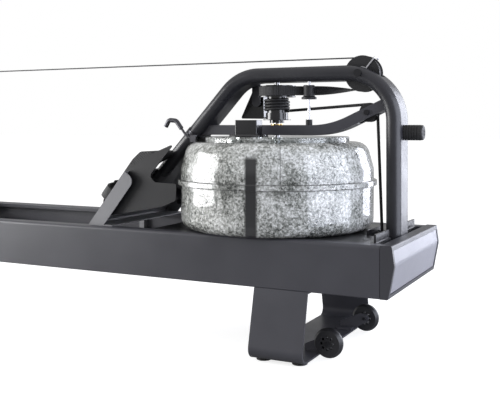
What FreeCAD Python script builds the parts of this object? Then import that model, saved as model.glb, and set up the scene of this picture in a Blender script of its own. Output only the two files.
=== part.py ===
"""Water rowing machine: two long rails, a water tank under a bent arch, a sliding seat and a strap drive.

Millimetres. +X points to the front (tank) end, +Z up, -Y is the near side.
Inside the functions the tank's axis is at X = 0, Y = 0; every piece is moved by the same
amount when it is written, so that the origin is on the floor at the middle of the machine.
"""
import FreeCAD
import Part
import math
import os

V = FreeCAD.Vector
AXIS_X = V(1, 0, 0)
AXIS_Y = V(0, 1, 0)
AXIS_Z = V(0, 0, 1)
ORIGIN = V(0, 0, 0)

# ---- clearances
slip = 0.3                 # gap between faces that move past each other
running = 0.05             # radial gap of a shaft in its bore
skin = 0.1                 # gap round a clamped band

# ---- rails
rail_bottom_z = 179.0
rail_height = 125.0
rail_width = 40.0
rail_inner_y = 184.0
rail_front_x = 363.0
rail_length = 2053.0
rail_wall = 3.5
rail_corner = 8.0
track_depth = 22.0
track_height = 48.0
track_rise = 63.0          # track floor above the rail's underside
cross_wall = 3.0
cross_spans = [(262, 360), (-80, -40), (-470, -420)]

# ---- end caps
cap_foot_depth = 21.0
cap_nose_depth = 36.0
cap_top_depth = 30.0
cap_nose_rise = 80.0
cap_wall = 3.0
cap_rim = 11.0
cap_gap = 1.2
cap_recess = 1.5
cap_chamfer = 1.5          # leaves a shadow line where the cap meets the rail

# ---- legs, pads and transport wheels
leg_rear_edge_x = 38.0
leg_width = 145.0
leg_plate = 5.0
leg_splay = 42.0
leg_bend = 26.0
leg_flange = 36.0
pad_height = 7.0
pad_radius = 20.0
pad_inset = 24.0
pad_set_in = 8.0
rear_leg_shift = -1500.0
wheel_radius = 38.0
wheel_width = 24.0
wheel_lift = 3.5
wheel_y = 148.0
wheel_reach = 26.0         # wheel centre ahead of the leg's front edge
wheel_axle_radius = 4.0
wheel_holes = 8
wheel_hole_radius = 3.2
wheel_hole_circle = 15.0
arm_plate = 5.0
bolt_radius = 4.0
bolt_head_radius = 7.0
bolt_head_height = 5.0

# ---- arch
tube_width = 96.0
tube_thickness = 40.0
tube_wall = 2.5
arch_top_z = 724.0         # centre line of the top tube
arch_bend = 127.0
arch_front_x = 342.0       # centre line of the upright
arch_rear_bend_x = -45.0
arch_slope = 47.5
arch_foot_z = 365.0
foot_tube_radius = 19.0

# ---- lower bar
bar_z = 572.5
bar_height = 28.0
bar_width = 50.0
bar_wall = 2.5
bar_bend_x = 112.8
bar_bend = 250.0
bar_rise = 25.0

# ---- pulleys
top_pulley_x = 252.0
top_pulley_z = 722.0
top_pulley_radius = 48.0
top_pulley_width = 34.0
strap_pulley_radius = 43.0     # to the middle of the strap
top_bolt_radius = 6.0
top_bolt_head_radius = 10.0
top_bolt_head_height = 7.0
retainer_wire = 2.0
retainer_lean = 50.0
cord_pulley_radius = 25.0
cord_pulley_width = 24.0
cord_pitch_radius = 22.0       # to the middle of the cord
lower_pulley_x = 268.0
lower_pulley_z = 619.5
base_pulley_x = 282.0
base_pulley_z = 250.0
cord_bolt_radius = 4.0

# ---- strap and elastic cord
strap_width = 25.0
strap_thickness = 1.8
strap_lead = 16.0          # flat stretch of strap before the top pulley
cord_radius = 4.0
cord_anchor_x = -1150.0
knot_radius = 8.0

# ---- drum, spool and shaft
shaft_radius = 8.0
shaft_bottom_z = 310.0
shaft_top_z = 712.0
bush_wall = 6.0
drum_radius = 52.0
drum_bottom_z = 664.0
drum_flange = 2.5
drum_hub_radius = 28.0
wound_radius = 50.0
strap_slack = 1.0
spool_core_radius = 27.5
spool_neck_radius = 31.0
spool_bottom_z = 592.0
spool_flange_radius = 38.5
spool_hub_radius = 20.0
spool_hub_height = 8.0
wrap_count = 5
wrap_pitch = 8.2
wrap_radius = 31.5
wrap_low_z = 625.0

# ---- strap guide
guide_x = 103.0
guide_radius = 15.5
guide_pin_radius = 4.0
guide_flange_radius = 20.5
guide_flange = 5.0
guide_flange_drop = 11.0    # flange's underside below the strap

# ---- tank
tank_bottom_z = 304.4
tank_foot_radius = 236.0
tank_corner = 30.0
tank_radius = 267.0
tank_wall = 4.0
seam_z = 431.0
seam_radius = 275.0
seam_half = 7.0
shoulder_z = 468.0
lid_radius = 200.0
lid_bottom_z = 541.0
lid_top_z = 555.0
water_z = 424.0
blade_radius = 170.0
blade_count = 6
blade_bottom_z = 322.0
blade_height = 46.0
plug_x = -43.0
plug_y = -91.0
plug_disc_radius = 54.0
plug_neck_radius = 38.0
plug_grip_length = 65.0
plug_grip_width = 38.0
plug_grip_top_z = 600.0
tray_z = 296.0
tray_thickness = 7.6
tray_rear_x = -290.0
tray_front_x = 345.0
tray_notch_x = 285.0
tray_notch_y = 62.0
tray_lip = 24.0

# ---- footrest
board_x = -489.0
board_z = 313.0
board_angle = 51.3
board_length = 187.0
board_overlap = 16.0        # the footboard's reach over each rail
board_plate = 3.0
board_flange = 40.0
board_foot = 74.0
side_plate_inset = 6.0
side_plate = 4.0
foot_gap = 1.0
foot_width = 112.0
footplate_height = 20.0
foot_strap_from = 62.0      # along the board
foot_strap_width = 40.0
foot_strap_thickness = 2.0
foot_strap_low = 6.0        # height of the strap's ends and crown above the board
foot_strap_crown = 46.0
heel_wall = 4.0
heel_height = 12.0
heel_from = 26.0            # along the board, with the cup at rest
heel_length = 46.0

# ---- seat
seat_x = -1330.0
seat_length = 240.0
seat_width = 300.0
seat_thickness = 42.0
seat_taper = 22.0
carriage_half = 118.0
carriage_gap = 16.0         # from the carriage's cheek to the rail
carriage_plate = 5.0
roller_radius = 22.0
roller_width = 16.0
roller_spread = 85.0
axle_radius = 5.0
seat_front_travel = 640.0
seat_rear_travel = 210.0
stop_length = 18.0
stop_height = 36.0

# ---- handle
handle_x = -1290.0
handle_half = 250.0
handle_sweep = 12.0
handle_straight = 60.0
handle_bend = 60.0
handle_bar_radius = 11.0
grip_radius = 16.5
grip_length = 150.0
clip_length = 34.0

# ---- bumper, console and hook
bumper_radius = 20.0
bumper_length = 42.0
bumper_cap = 8.0
bumper_z = 567.0
console_gap = 10.0          # from the arch's side to the housing
console_width = 120.0
console_pin_x = -88.0
console_pin_z = 652.0
console_pin_radius = 4.0
console_plate_half = 13.0
hook_stand_off = 6.5
hook_band = 2.0
hook_band_z = 566.0
hook_band_length = 20.0
hook_rod_radius = 3.5
hook_sleeve_radius = 6.5
hook_bare_share = 0.45     # bare part of the rod's rise

# ---- values worked out from the ones above
rail_top_z = rail_bottom_z + rail_height
rail_outer_y = rail_inner_y + rail_width
rail_rear_x = rail_front_x - rail_length
track_floor_z = rail_bottom_z + track_rise
track_back_y = rail_inner_y + track_depth
leg_front_edge_x = leg_rear_edge_x + leg_width
wheel_x = leg_front_edge_x + wheel_reach
wheel_z = wheel_radius + wheel_lift
bend_z = arch_top_z - arch_bend
upright_front_x = arch_front_x + tube_thickness / 2
bumper_front_x = upright_front_x + bumper_length + bumper_cap
machine_middle_x = (bumper_front_x + rail_rear_x - cap_nose_depth) / 2
strap_low_z = drum_bottom_z + drum_flange + strap_slack
strap_mid_z = strap_low_z + strap_width / 2
drum_top_z = strap_low_z + strap_width + strap_slack + drum_flange
drum_strap_radius = wound_radius + slip + strap_thickness / 2
guide_strap_radius = guide_radius + slip + strap_thickness / 2
cross_top_z = rail_bottom_z + 36.0
roller_z = track_floor_z + slip + roller_radius
pad_y = rail_outer_y - pad_set_in
board_half_width = rail_inner_y + board_overlap
side_plate_y = rail_inner_y - side_plate_inset
carriage_y = rail_inner_y - carriage_gap
foot_y = tube_width / 2 + foot_gap + foot_width / 2
console_y = tube_width / 2 + console_gap
hook_y = -tube_width / 2 - hook_stand_off
handle_z = top_pulley_z + strap_pulley_radius
bush_radius = shaft_radius + bush_wall


# ---------------------------------------------------------------- shared shapes
def box(x0, x1, y0, y1, z0, z1):
    """A block between two corners."""
    return Part.makeBox(x1 - x0, y1 - y0, z1 - z0, V(x0, y0, z0))


def rod(radius, start, end):
    """A round bar between two points."""
    run = end.sub(start)
    return Part.makeCylinder(radius, run.Length, start, run)


def ring(outer, inner, start, end):
    """A round tube between two points."""
    reach = end.sub(start).normalize().multiply(1.0)
    return rod(outer, start, end).cut(rod(inner, start.sub(reach), end.add(reach)))


def rounded_edges(points, radii, closed):
    """Straight runs joined by tangent arcs, one radius for each corner."""
    count = len(points)
    starts, ends, arcs = [], [], []
    for i, corner in enumerate(points):
        radius = radii[i] if closed or 0 < i < count - 1 else 0
        if not radius:
            starts.append(corner)
            ends.append(corner)
            arcs.append(None)
            continue
        to_last = points[i - 1].sub(corner).normalize()
        to_next = points[(i + 1) % count].sub(corner).normalize()
        half = to_last.getAngle(to_next) / 2
        reach = radius / math.tan(half)
        inward = to_last.add(to_next).normalize()
        first = corner.add(V(to_last).multiply(reach))
        last = corner.add(V(to_next).multiply(reach))
        middle = corner.add(V(inward).multiply(radius / math.sin(half) - radius))
        starts.append(first)
        ends.append(last)
        arcs.append(Part.Arc(first, middle, last).toShape())
    edges = []
    for i in range(count):
        if arcs[i]:
            edges.append(arcs[i])
        if i == count - 1 and not closed:
            break
        target = starts[(i + 1) % count]
        if ends[i].distanceToPoint(target) > 1e-6:
            edges.append(Part.LineSegment(ends[i], target).toShape())
    return edges


def profile(plane, points, radii, start, end):
    """A flat outline with rounded corners, pulled from start to end across its plane."""
    if plane == "xz":
        corners = [V(a, start, b) for a, b in points]
        pull = V(0, end - start, 0)
    elif plane == "yz":
        corners = [V(start, a, b) for a, b in points]
        pull = V(end - start, 0, 0)
    else:
        corners = [V(a, b, start) for a, b in points]
        pull = V(0, 0, end - start)
    if not isinstance(radii, (list, tuple)):
        radii = [radii] * len(points)
    face = Part.Face(Part.Wire(rounded_edges(corners, radii, True)))
    return face.extrude(pull)


def turned(outline, centre=ORIGIN, axis=AXIS_Z, radii=0):
    """A solid of revolution: outline holds (radius, height) pairs along the axis."""
    if axis == AXIS_Z:
        corners = [V(r, 0, h) for r, h in outline]
    elif axis == AXIS_Y:
        corners = [V(r, h, 0) for r, h in outline]
    else:
        corners = [V(h, r, 0) for r, h in outline]
    corners = [centre.add(c) for c in corners]
    if not isinstance(radii, (list, tuple)):
        radii = [radii] * len(corners)
    face = Part.Face(Part.Wire(rounded_edges(corners, radii, True)))
    return face.revolve(centre, axis, 360)


def tube_path(points, radii, radius):
    """A round tube of straight runs joined by tangent arcs."""
    spine = Part.Wire(rounded_edges(points, radii, False))
    start = points[0]
    section = Part.Wire(Part.makeCircle(radius, start, points[1].sub(start)))
    return spine.makePipeShell([section], True, False)


def mirrored(shape):
    """The same piece on the other side of the machine."""
    return shape.mirror(ORIGIN, AXIS_Y)


def both_sides(shape):
    """A piece and its mirror image, as two separate solids."""
    return [shape, mirrored(shape)]


def group(shapes):
    """Several separate solids in one node."""
    return Part.makeCompound(shapes)


def joined(shapes):
    """Solids welded into one."""
    whole = shapes[0].fuse(shapes[1:])
    return whole.removeSplitter()


def write(name, shape):
    """Move a piece to the machine's own origin and write it."""
    placed = shape.translated(V(-machine_middle_x, 0, 0))
    placed.exportStep("parts/" + name + ".step")


def bolt(start, end, radius, head_radius, head_height):
    """A bolt from the head's underside at start to its end."""
    away = start.sub(end).normalize().multiply(head_height)
    return joined([rod(radius, start, end), rod(head_radius, start, start.add(away))])


# ---------------------------------------------------------------- base
def rail():
    """The far rail: a hollow bar with a roller track in its inner side."""
    inner, outer, back = rail_inner_y, rail_outer_y, track_back_y
    floor, ceiling = track_floor_z, track_floor_z + track_height
    low, high = rail_bottom_z, rail_top_z
    outline = [(inner, low), (outer, low), (outer, high), (inner, high),
               (inner, ceiling), (back, ceiling), (back, floor), (inner, floor)]
    body = profile("yz", outline, [2, 3, rail_corner, 3, 1, 1, 1, 1], rail_rear_x, rail_front_x)
    wall = rail_wall
    under = [(inner + wall, low + wall), (outer - wall, low + wall),
             (outer - wall, floor - wall), (inner + wall, floor - wall)]
    above = [(back + wall, floor), (outer - wall, floor), (outer - wall, high - wall),
             (inner + wall, high - wall), (inner + wall, ceiling + wall), (back + wall, ceiling + wall)]
    body = body.cut(profile("yz", under, 1, rail_rear_x - 1, rail_front_x + 1))
    return body.cut(profile("yz", above, 1, rail_rear_x - 1, rail_front_x + 1))


def cap_outline(inset):
    """The front end cap's side outline, drawn in by inset."""
    foot = rail_front_x + cap_foot_depth - inset
    nose = rail_front_x + cap_nose_depth - inset
    top = rail_front_x + cap_top_depth - inset
    low, high = rail_bottom_z + inset, rail_top_z + 1 - inset
    return [(rail_front_x, low), (foot, low), (nose, rail_bottom_z + cap_nose_rise), (top, high),
            (rail_front_x, high)]


def cap_shell():
    """The end cap as one skin, before the window for its panel."""
    half = rail_outer_y
    skin_body = profile("xz", cap_outline(0), [0, 4, 30, 4, 0], -half, half)
    back_edges = [edge for edge in skin_body.Edges if edge.BoundBox.XMax < rail_front_x + 0.01]
    skin_body = skin_body.makeChamfer(cap_chamfer, back_edges)
    hollow = cap_outline(cap_wall)
    hollow[0] = (rail_front_x - 1, hollow[0][1])
    hollow[4] = (rail_front_x - 1, hollow[4][1])
    return skin_body.cut(profile("xz", hollow, [0, 2, 27, 2, 0], cap_wall - half, half - cap_wall))


def cap_window(gap):
    """The opening in the end cap's face, drawn in by gap."""
    side = rail_outer_y - cap_rim - gap
    low, high = rail_bottom_z + cap_rim + gap, rail_top_z + 1 - cap_rim - gap
    return box(rail_front_x + cap_wall, rail_front_x + cap_nose_depth + 5, -side, side, low, high)


def end_cap():
    """The front end cap, open at its back, with a window for the panel."""
    return cap_shell().cut(cap_window(0))


def cap_panel():
    """The light panel set a little back in the end cap's window."""
    panel = cap_shell().common(cap_window(cap_gap))
    return panel.translated(V(-cap_recess, 0, 0))


def to_rear(shape):
    """Mirror an end piece from the front end to the rear end."""
    return shape.mirror(V((rail_front_x + rail_rear_x) / 2, 0, 0), AXIS_X)


def cross_members():
    """Flat tubes that tie the rails together, and the tab that holds the elastic cord's end."""
    low, high = rail_bottom_z + 14, cross_top_z
    inner = rail_inner_y
    wall = cross_wall
    spans = cross_spans + [(cord_anchor_x - 20, cord_anchor_x + 20), (rail_rear_x + 120, rail_rear_x + 160)]
    tubes = []
    for x0, x1 in spans:
        outer = box(x0, x1, -inner, inner, low, high)
        tubes.append(outer.cut(box(x0 + wall, x1 - wall, -inner, inner, low + wall, high - wall)))
    cord_z = base_pulley_z - cord_pitch_radius
    tab = box(cord_anchor_x - 4, cord_anchor_x + 4, -16, 16, high, cord_z + 14)
    hole = rod(cord_radius + slip, V(cord_anchor_x - 9, 0, cord_z), V(cord_anchor_x + 9, 0, cord_z))
    tubes[-2] = joined([tubes[-2], tab]).cut(hole)
    return group(tubes)


def tank_tray():
    """The flat tray between the rails that the tank stands over, with a raised front lip."""
    inner, notch = rail_inner_y, tray_notch_y
    plan = [(tray_rear_x, -inner), (tray_front_x, -inner), (tray_front_x, -notch), (tray_notch_x, -notch),
            (tray_notch_x, notch), (tray_front_x, notch), (tray_front_x, inner), (tray_rear_x, inner)]
    top = tray_z + tray_thickness
    plate = profile("xy", plan, [0, 6, 3, 3, 3, 3, 6, 0], tray_z, top)
    lips = []
    for side in (-1, 1):
        ys = sorted((side * notch, side * inner))
        lips.append(box(tray_front_x - 9, tray_front_x - 4, ys[0] + 5, ys[1] - 5, top, top + tray_lip - 4))
    lips.append(box(tray_notch_x - 5, tray_notch_x, -notch, notch, top, top + tray_lip - 10))
    return joined([plate] + lips)


def leg():
    """A wide plate bent to a U, splayed towards the floor, with flanges under the rails."""
    x0, x1 = leg_rear_edge_x, leg_front_edge_x
    foot = rail_outer_y + leg_splay
    low = pad_height
    outline = [(-rail_outer_y, rail_bottom_z), (-foot, low), (foot, low), (rail_outer_y, rail_bottom_z)]
    solid = profile("yz", outline, [0, leg_bend, leg_bend, 0], x0, x1)
    slope = leg_splay / (rail_bottom_z - low)
    top_y = rail_outer_y - leg_plate * math.hypot(1, slope)
    foot_y_in = top_y + slope * (rail_bottom_z + 2 - low - leg_plate)
    hollow = [(-top_y + 2 * slope, rail_bottom_z + 2), (-foot_y_in, low + leg_plate), (foot_y_in, low + leg_plate),
              (top_y - 2 * slope, rail_bottom_z + 2)]
    bend = leg_bend - leg_plate
    shell = solid.cut(profile("yz", hollow, [0, bend, bend, 0], x0 - 1, x1 + 1))
    high = rail_bottom_z
    flange = box(x0, x1, rail_outer_y - leg_flange, rail_outer_y - 2, high - leg_plate, high)
    whole = joined([shell, flange, mirrored(flange)])
    for x in leg_bolt_places():
        for y in (-flange_bolt_y(), flange_bolt_y()):
            whole = whole.cut(rod(bolt_radius, V(x, y, high - leg_plate - 1), V(x, y, high + 1)))
    return whole


def flange_bolt_y():
    """Middle of the leg's flange."""
    return rail_outer_y - leg_flange / 2 - 4


def leg_bolt_places():
    """Where the bolts go along a leg's flange."""
    return [leg_rear_edge_x + leg_width * 0.22, leg_front_edge_x - leg_width * 0.22]


def frame_bolts():
    """Bolts up through both legs' flanges into the rails' underside walls."""
    low = rail_bottom_z - leg_plate
    bolts = []
    for shift in (0, rear_leg_shift):
        for x in leg_bolt_places():
            for y in (-flange_bolt_y(), flange_bolt_y()):
                start = V(x + shift, y, low)
                end = V(x + shift, y, rail_bottom_z)
                bolts.append(bolt(start, end, bolt_radius, bolt_head_radius, bolt_head_height))
    return group(bolts)


def leg_pads():
    """Rubber feet under both legs."""
    pads = []
    for shift in (0, rear_leg_shift):
        for x in (leg_rear_edge_x + pad_inset, leg_front_edge_x - pad_inset):
            for y in (-pad_y, pad_y):
                outline = [(0, 0), (pad_radius, 0), (pad_radius - 3, pad_height), (0, pad_height)]
                pads.append(turned(outline, V(x + shift, y, 0), AXIS_Z, [0, 1.5, 1, 0]))
    return group(pads)


def wheel_arm():
    """The far wheel's carrier: a tab on the leg's bottom plate and an upright ear with an axle hole."""
    inner_y = wheel_y - wheel_width / 2 - 3 - arm_plate
    outer_y = inner_y + arm_plate
    floor = pad_height + leg_plate
    tab = box(leg_front_edge_x - 45, leg_front_edge_x - 2, inner_y - 26, outer_y, floor, floor + arm_plate)
    outline = [(leg_front_edge_x - 45, floor), (leg_front_edge_x - 2, floor), (wheel_x + 14, wheel_z - 6),
               (wheel_x + 14, wheel_z + 14), (wheel_x - 12, wheel_z + 14), (leg_front_edge_x - 45, floor + 16)]
    ear = profile("xz", outline, [0, 4, 12, 12, 10, 6], inner_y, outer_y)
    hole = rod(wheel_axle_radius, V(wheel_x, inner_y - 1, wheel_z), V(wheel_x, outer_y + 1, wheel_z))
    return joined([tab, ear]).cut(hole)


def wheel_bolt():
    """The far wheel's axle bolt."""
    inner_y = wheel_y - wheel_width / 2 - 3 - arm_plate
    start = V(wheel_x, wheel_y + wheel_width / 2 + slip, wheel_z)
    shank = bolt(start, V(wheel_x, inner_y - 3, wheel_z), wheel_axle_radius, bolt_head_radius - 1, 3)
    spacer_from = V(wheel_x, wheel_y - wheel_width / 2 - slip, wheel_z)
    spacer = rod(wheel_axle_radius + 2.5, spacer_from, V(wheel_x, inner_y + arm_plate, wheel_z))
    return joined([shank, spacer])


def transport_wheel():
    """The far transport wheel, a crowned tyre on a hub with a ring of holes."""
    half = wheel_width / 2
    crown = 6.0
    outline = [(wheel_axle_radius + running, -half), (wheel_radius - crown, -half), (wheel_radius, -half / 3),
               (wheel_radius, half / 3), (wheel_radius - crown, half), (wheel_axle_radius + running, half)]
    centre = V(wheel_x, wheel_y, wheel_z)
    wheel = turned(outline, centre, AXIS_Y, [0, 1, 6, 6, 1, 0])
    for i in range(wheel_holes):
        angle = 2 * math.pi * i / wheel_holes
        x = wheel_x + wheel_hole_circle * math.cos(angle)
        z = wheel_z + wheel_hole_circle * math.sin(angle)
        wheel = wheel.cut(rod(wheel_hole_radius, V(x, wheel_y - half - 1, z), V(x, wheel_y + half + 1, z)))
    return wheel


# ---------------------------------------------------------------- arch and lower bar
def flat_oval(centre, normal, width, thickness):
    """A flat tube's section: thickness along normal, width across the machine."""
    half = (width - thickness) / 2
    radius = thickness / 2
    up = V(normal).multiply(radius)
    near, far = V(0, -half, 0), V(0, half, 0)
    a, b = centre.add(far).add(up), centre.add(near).add(up)
    c, d = centre.add(near).sub(up), centre.add(far).sub(up)
    near_tip = centre.add(V(0, -half - radius, 0))
    far_tip = centre.add(V(0, half + radius, 0))
    edges = [Part.LineSegment(a, b).toShape(), Part.Arc(b, near_tip, c).toShape(),
             Part.LineSegment(c, d).toShape(), Part.Arc(d, far_tip, a).toShape()]
    return Part.Face(Part.Wire(edges))


def slope_direction():
    """Unit vector down the arch's sloping leg, towards the footrest."""
    angle = math.radians(arch_slope)
    return V(-math.cos(angle), 0, -math.sin(angle))


def slope_normal():
    """Unit vector out of the sloping leg's outer face."""
    angle = math.radians(arch_slope)
    return V(-math.sin(angle), 0, math.cos(angle))


def slope_start():
    """Centre line point where the rear bend meets the sloping leg."""
    return V(arch_rear_bend_x, 0, bend_z).add(slope_normal().multiply(arch_bend))


def slope_point(z):
    """Centre line point of the sloping leg at height z."""
    start = slope_start()
    run = (start.z - z) / -slope_direction().z
    return start.add(slope_direction().multiply(run))


def arch_solid(width, thickness):
    """The bent arch as a solid bar of the given section."""
    up = AXIS_Z
    foot = flat_oval(V(arch_front_x, 0, cross_top_z), AXIS_X, width, thickness)
    upright = foot.extrude(V(0, 0, bend_z - cross_top_z))
    shoulder = flat_oval(V(arch_front_x, 0, bend_z), AXIS_X, width, thickness)
    front_centre = V(arch_front_x - arch_bend, 0, bend_z)
    front_bend = shoulder.revolve(front_centre, V(0, -1, 0), 90)
    top_face = flat_oval(V(front_centre.x, 0, arch_top_z), up, width, thickness)
    top = top_face.extrude(V(arch_rear_bend_x - front_centre.x, 0, 0))
    rear_face = flat_oval(V(arch_rear_bend_x, 0, arch_top_z), up, width, thickness)
    rear_bend = rear_face.revolve(V(arch_rear_bend_x, 0, bend_z), V(0, -1, 0), arch_slope)
    slope_face = flat_oval(slope_start(), slope_normal(), width, thickness)
    slope = slope_face.extrude(slope_point(arch_foot_z).sub(slope_start()))
    return joined([upright, front_bend, top, rear_bend, slope])


def board_frame(shape):
    """Place a shape drawn along the footboard: x up the board, y across, z towards the rower."""
    turned_shape = shape.copy()
    turned_shape.rotate(ORIGIN, AXIS_Y, -board_angle)
    turned_shape.translate(V(board_x, 0, board_z))
    return turned_shape


def arch_frame():
    """The arch tube with its foot tube welded on, slotted for the top pulley."""
    tube = arch_solid(tube_width, tube_thickness)
    hollow = arch_solid(tube_width - 2 * tube_wall, tube_thickness - 2 * tube_wall)
    tube = tube.cut(hollow)
    foot = slope_point(arch_foot_z)
    foot_tube = rod(foot_tube_radius, V(foot.x, -side_plate_y, foot.z), V(foot.x, side_plate_y, foot.z))
    tube = joined([tube, foot_tube])
    tube = tube.cut(board_frame(box(-200, 600, -250, 250, -board_plate - slip, 200)))
    slot_half = top_pulley_width / 2 + 2
    reach = top_pulley_radius + 6
    tube = tube.cut(box(top_pulley_x - reach, top_pulley_x + reach, -slot_half, slot_half,
                        top_pulley_z - 80, top_pulley_z + 80))
    side = tube_width
    tube = tube.cut(rod(top_bolt_radius, V(top_pulley_x, -side, top_pulley_z), V(top_pulley_x, side, top_pulley_z)))
    under = arch_top_z - tube_thickness / 2
    tube = tube.cut(rod(shaft_radius + running, V(0, 0, under - 5), V(0, 0, under + 10)))
    return tube.cut(rod(guide_pin_radius, guide_place(under - 5), guide_place(under + tube_wall)))


def bar_section(centre, normal, width, height):
    """A rectangular section of the lower bar."""
    up = V(normal).multiply(height / 2)
    out = V(0, width / 2, 0)
    corners = [centre.add(up).add(out), centre.add(up).sub(out), centre.sub(up).sub(out),
               centre.sub(up).add(out)]
    return Part.Face(Part.makePolygon(corners + [corners[0]]))


def bar_solid(width, height):
    """The lower bar as a solid of the given section, bent up towards the upright."""
    rise = math.radians(bar_rise)
    start = slope_point(bar_z)
    level = bar_section(start, AXIS_Z, width, height).extrude(V(bar_bend_x - start.x, 0, 0))
    bend_centre = V(bar_bend_x, 0, bar_z + bar_bend)
    bend_face = bar_section(V(bar_bend_x, 0, bar_z), AXIS_Z, width, height)
    bend = bend_face.revolve(bend_centre, V(0, -1, 0), bar_rise)
    end = bend_centre.add(V(math.sin(rise), 0, -math.cos(rise)).multiply(bar_bend))
    rising = bar_section(end, V(-math.sin(rise), 0, math.cos(rise)), width, height)
    run = (arch_front_x - end.x) / math.cos(rise)
    return joined([level, bend, rising.extrude(V(math.cos(rise), 0, math.sin(rise)).multiply(run))])


def lower_bar():
    """The rectangular tube inside the arch that carries the shaft's bush and the cord pulley."""
    bar = bar_solid(bar_width, bar_height)
    bar = bar.cut(bar_solid(bar_width - 2 * bar_wall, bar_height - 2 * bar_wall))
    bar = bar.cut(arch_solid(tube_width, tube_thickness))
    slot = cord_pulley_width / 2 + 2
    reach = cord_pulley_radius + 5
    bar = bar.cut(box(lower_pulley_x - reach, lower_pulley_x + reach, -slot, slot,
                      lower_pulley_z - 60, lower_pulley_z + 60))
    axle = rod(cord_bolt_radius, V(lower_pulley_x, -bar_width, lower_pulley_z),
               V(lower_pulley_x, bar_width, lower_pulley_z))
    top = bar_z + bar_height / 2
    bush = rod(bush_radius, V(0, 0, bar_z - bar_height), V(0, 0, top + 1))
    pin = rod(guide_pin_radius, guide_place(bar_z), guide_place(top + 1))
    return bar.cut([axle, bush, pin])


def shaft_bush():
    """The flanged brass bush that the shaft turns in."""
    low, top = bar_z - bar_height / 2, bar_z + bar_height / 2
    bore, flange, high = shaft_radius + running, bush_radius + 3, top + 3.5
    return turned([(bore, low), (bush_radius, low), (bush_radius, top), (flange, top), (flange, high), (bore, high)])


# ---------------------------------------------------------------- strap guide
def guide_place(z):
    """A point on the guide pin's axis."""
    return V(guide_x, -guide_strap_radius, z)


def guide_rod():
    """The bright pin between the lower bar and the arch."""
    top = arch_top_z - tube_thickness / 2
    return rod(guide_pin_radius, guide_place(bar_z + bar_height / 2 - bar_wall), guide_place(top + tube_wall))


def guide_collar():
    """The black collar at the pin's lower end."""
    low = bar_z + bar_height / 2
    return ring(9.0, guide_pin_radius, guide_place(low), guide_place(low + 15))


def guide_roller():
    """The flanged roller that turns the strap towards the top pulley."""
    bore = guide_pin_radius + running
    low = strap_low_z - guide_flange_drop
    high = strap_low_z + strap_width + 1
    outline = [(bore, low), (guide_flange_radius, low), (guide_flange_radius, low + guide_flange),
               (guide_radius, low + guide_flange + 3), (guide_radius, high), (guide_radius - 2, high + 1),
               (bore, high + 1)]
    return turned(outline, guide_place(0))


# ---------------------------------------------------------------- drum, spool and shaft
def strap_drum():
    """The drum that the drive strap winds on."""
    bore = shaft_radius + running
    top, low = drum_top_z, drum_bottom_z
    outline = [(bore, low), (drum_radius, low), (drum_radius, low + drum_flange),
               (drum_hub_radius, low + drum_flange), (drum_hub_radius, top - drum_flange),
               (drum_radius, top - drum_flange), (drum_radius, top), (bore, top)]
    return turned(outline)


def drum_strap_wraps():
    """The strap that is wound on the drum."""
    return ring(wound_radius, drum_hub_radius, V(0, 0, strap_low_z), V(0, 0, strap_low_z + strap_width))


def bungee_spool():
    """The spool below the drum, with its thin flange and lower hub."""
    bore = shaft_radius + running
    neck_top = wrap_low_z - cord_radius - 0.5
    hub = spool_hub_radius
    flange_z = spool_bottom_z + spool_hub_height
    outline = [(bore, spool_bottom_z), (hub, spool_bottom_z), (hub, flange_z), (spool_flange_radius, flange_z),
               (spool_flange_radius, flange_z + 2), (spool_neck_radius, flange_z + 2),
               (spool_neck_radius, neck_top), (spool_core_radius, neck_top),
               (spool_core_radius, drum_bottom_z), (bore, drum_bottom_z)]
    return turned(outline)


def bungee_wraps():
    """The elastic cord's turns on the spool, as one ribbed sleeve."""
    wraps = []
    for i in range(wrap_count):
        z = wrap_low_z + i * wrap_pitch
        wraps.append(Part.makeTorus(wrap_radius, cord_radius, V(0, 0, z)))
    low = wrap_low_z - cord_radius + 1.5
    high = wrap_low_z + (wrap_count - 1) * wrap_pitch + cord_radius - 1.5
    sleeve = ring(wrap_radius + 1, spool_core_radius, V(0, 0, low), V(0, 0, high))
    whole = joined([sleeve] + wraps)
    return whole.cut(rod(spool_core_radius, V(0, 0, low - 20), V(0, 0, high + 20)))


def impeller_shaft():
    """The long shaft from the tank's floor to the arch."""
    return rod(shaft_radius, V(0, 0, shaft_bottom_z), V(0, 0, shaft_top_z))


def impeller():
    """A hub with flat paddles inside the tank."""
    low, high = blade_bottom_z, blade_bottom_z + blade_height
    hub = rod(22, V(0, 0, low), V(0, 0, high))
    blades = []
    for i in range(blade_count):
        blade = box(0, blade_radius, -2, 2, low, high)
        blade.rotate(ORIGIN, AXIS_Z, 360.0 * i / blade_count)
        blades.append(blade)
    whole = joined([hub] + blades)
    return whole.cut(rod(shaft_radius, V(0, 0, low - 1), V(0, 0, high + 1)))


# ---------------------------------------------------------------- pulleys
def grooved(centre, rim, groove, width, land, bore):
    """A pulley with a flat-bottomed groove, turning about Y."""
    half = width / 2
    outline = [(bore, -half), (rim, -half), (rim, -land), (groove, -land + 1), (groove, land - 1),
               (rim, land), (rim, half), (bore, half)]
    return turned(outline, centre, AXIS_Y)


def top_pulley():
    """The wide pulley in the arch's front bend."""
    groove = strap_pulley_radius - strap_thickness / 2 - slip
    centre = V(top_pulley_x, 0, top_pulley_z)
    land = strap_width / 2 + 2
    return grooved(centre, top_pulley_radius, groove, top_pulley_width - 2, land, top_bolt_radius + running)


def cord_pulley(x, z):
    """One of the two small pulleys for the elastic cord."""
    groove = cord_pitch_radius - cord_radius - slip
    land = cord_radius + 6
    return grooved(V(x, 0, z), cord_pulley_radius, groove, cord_pulley_width, land, cord_bolt_radius + running)


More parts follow.
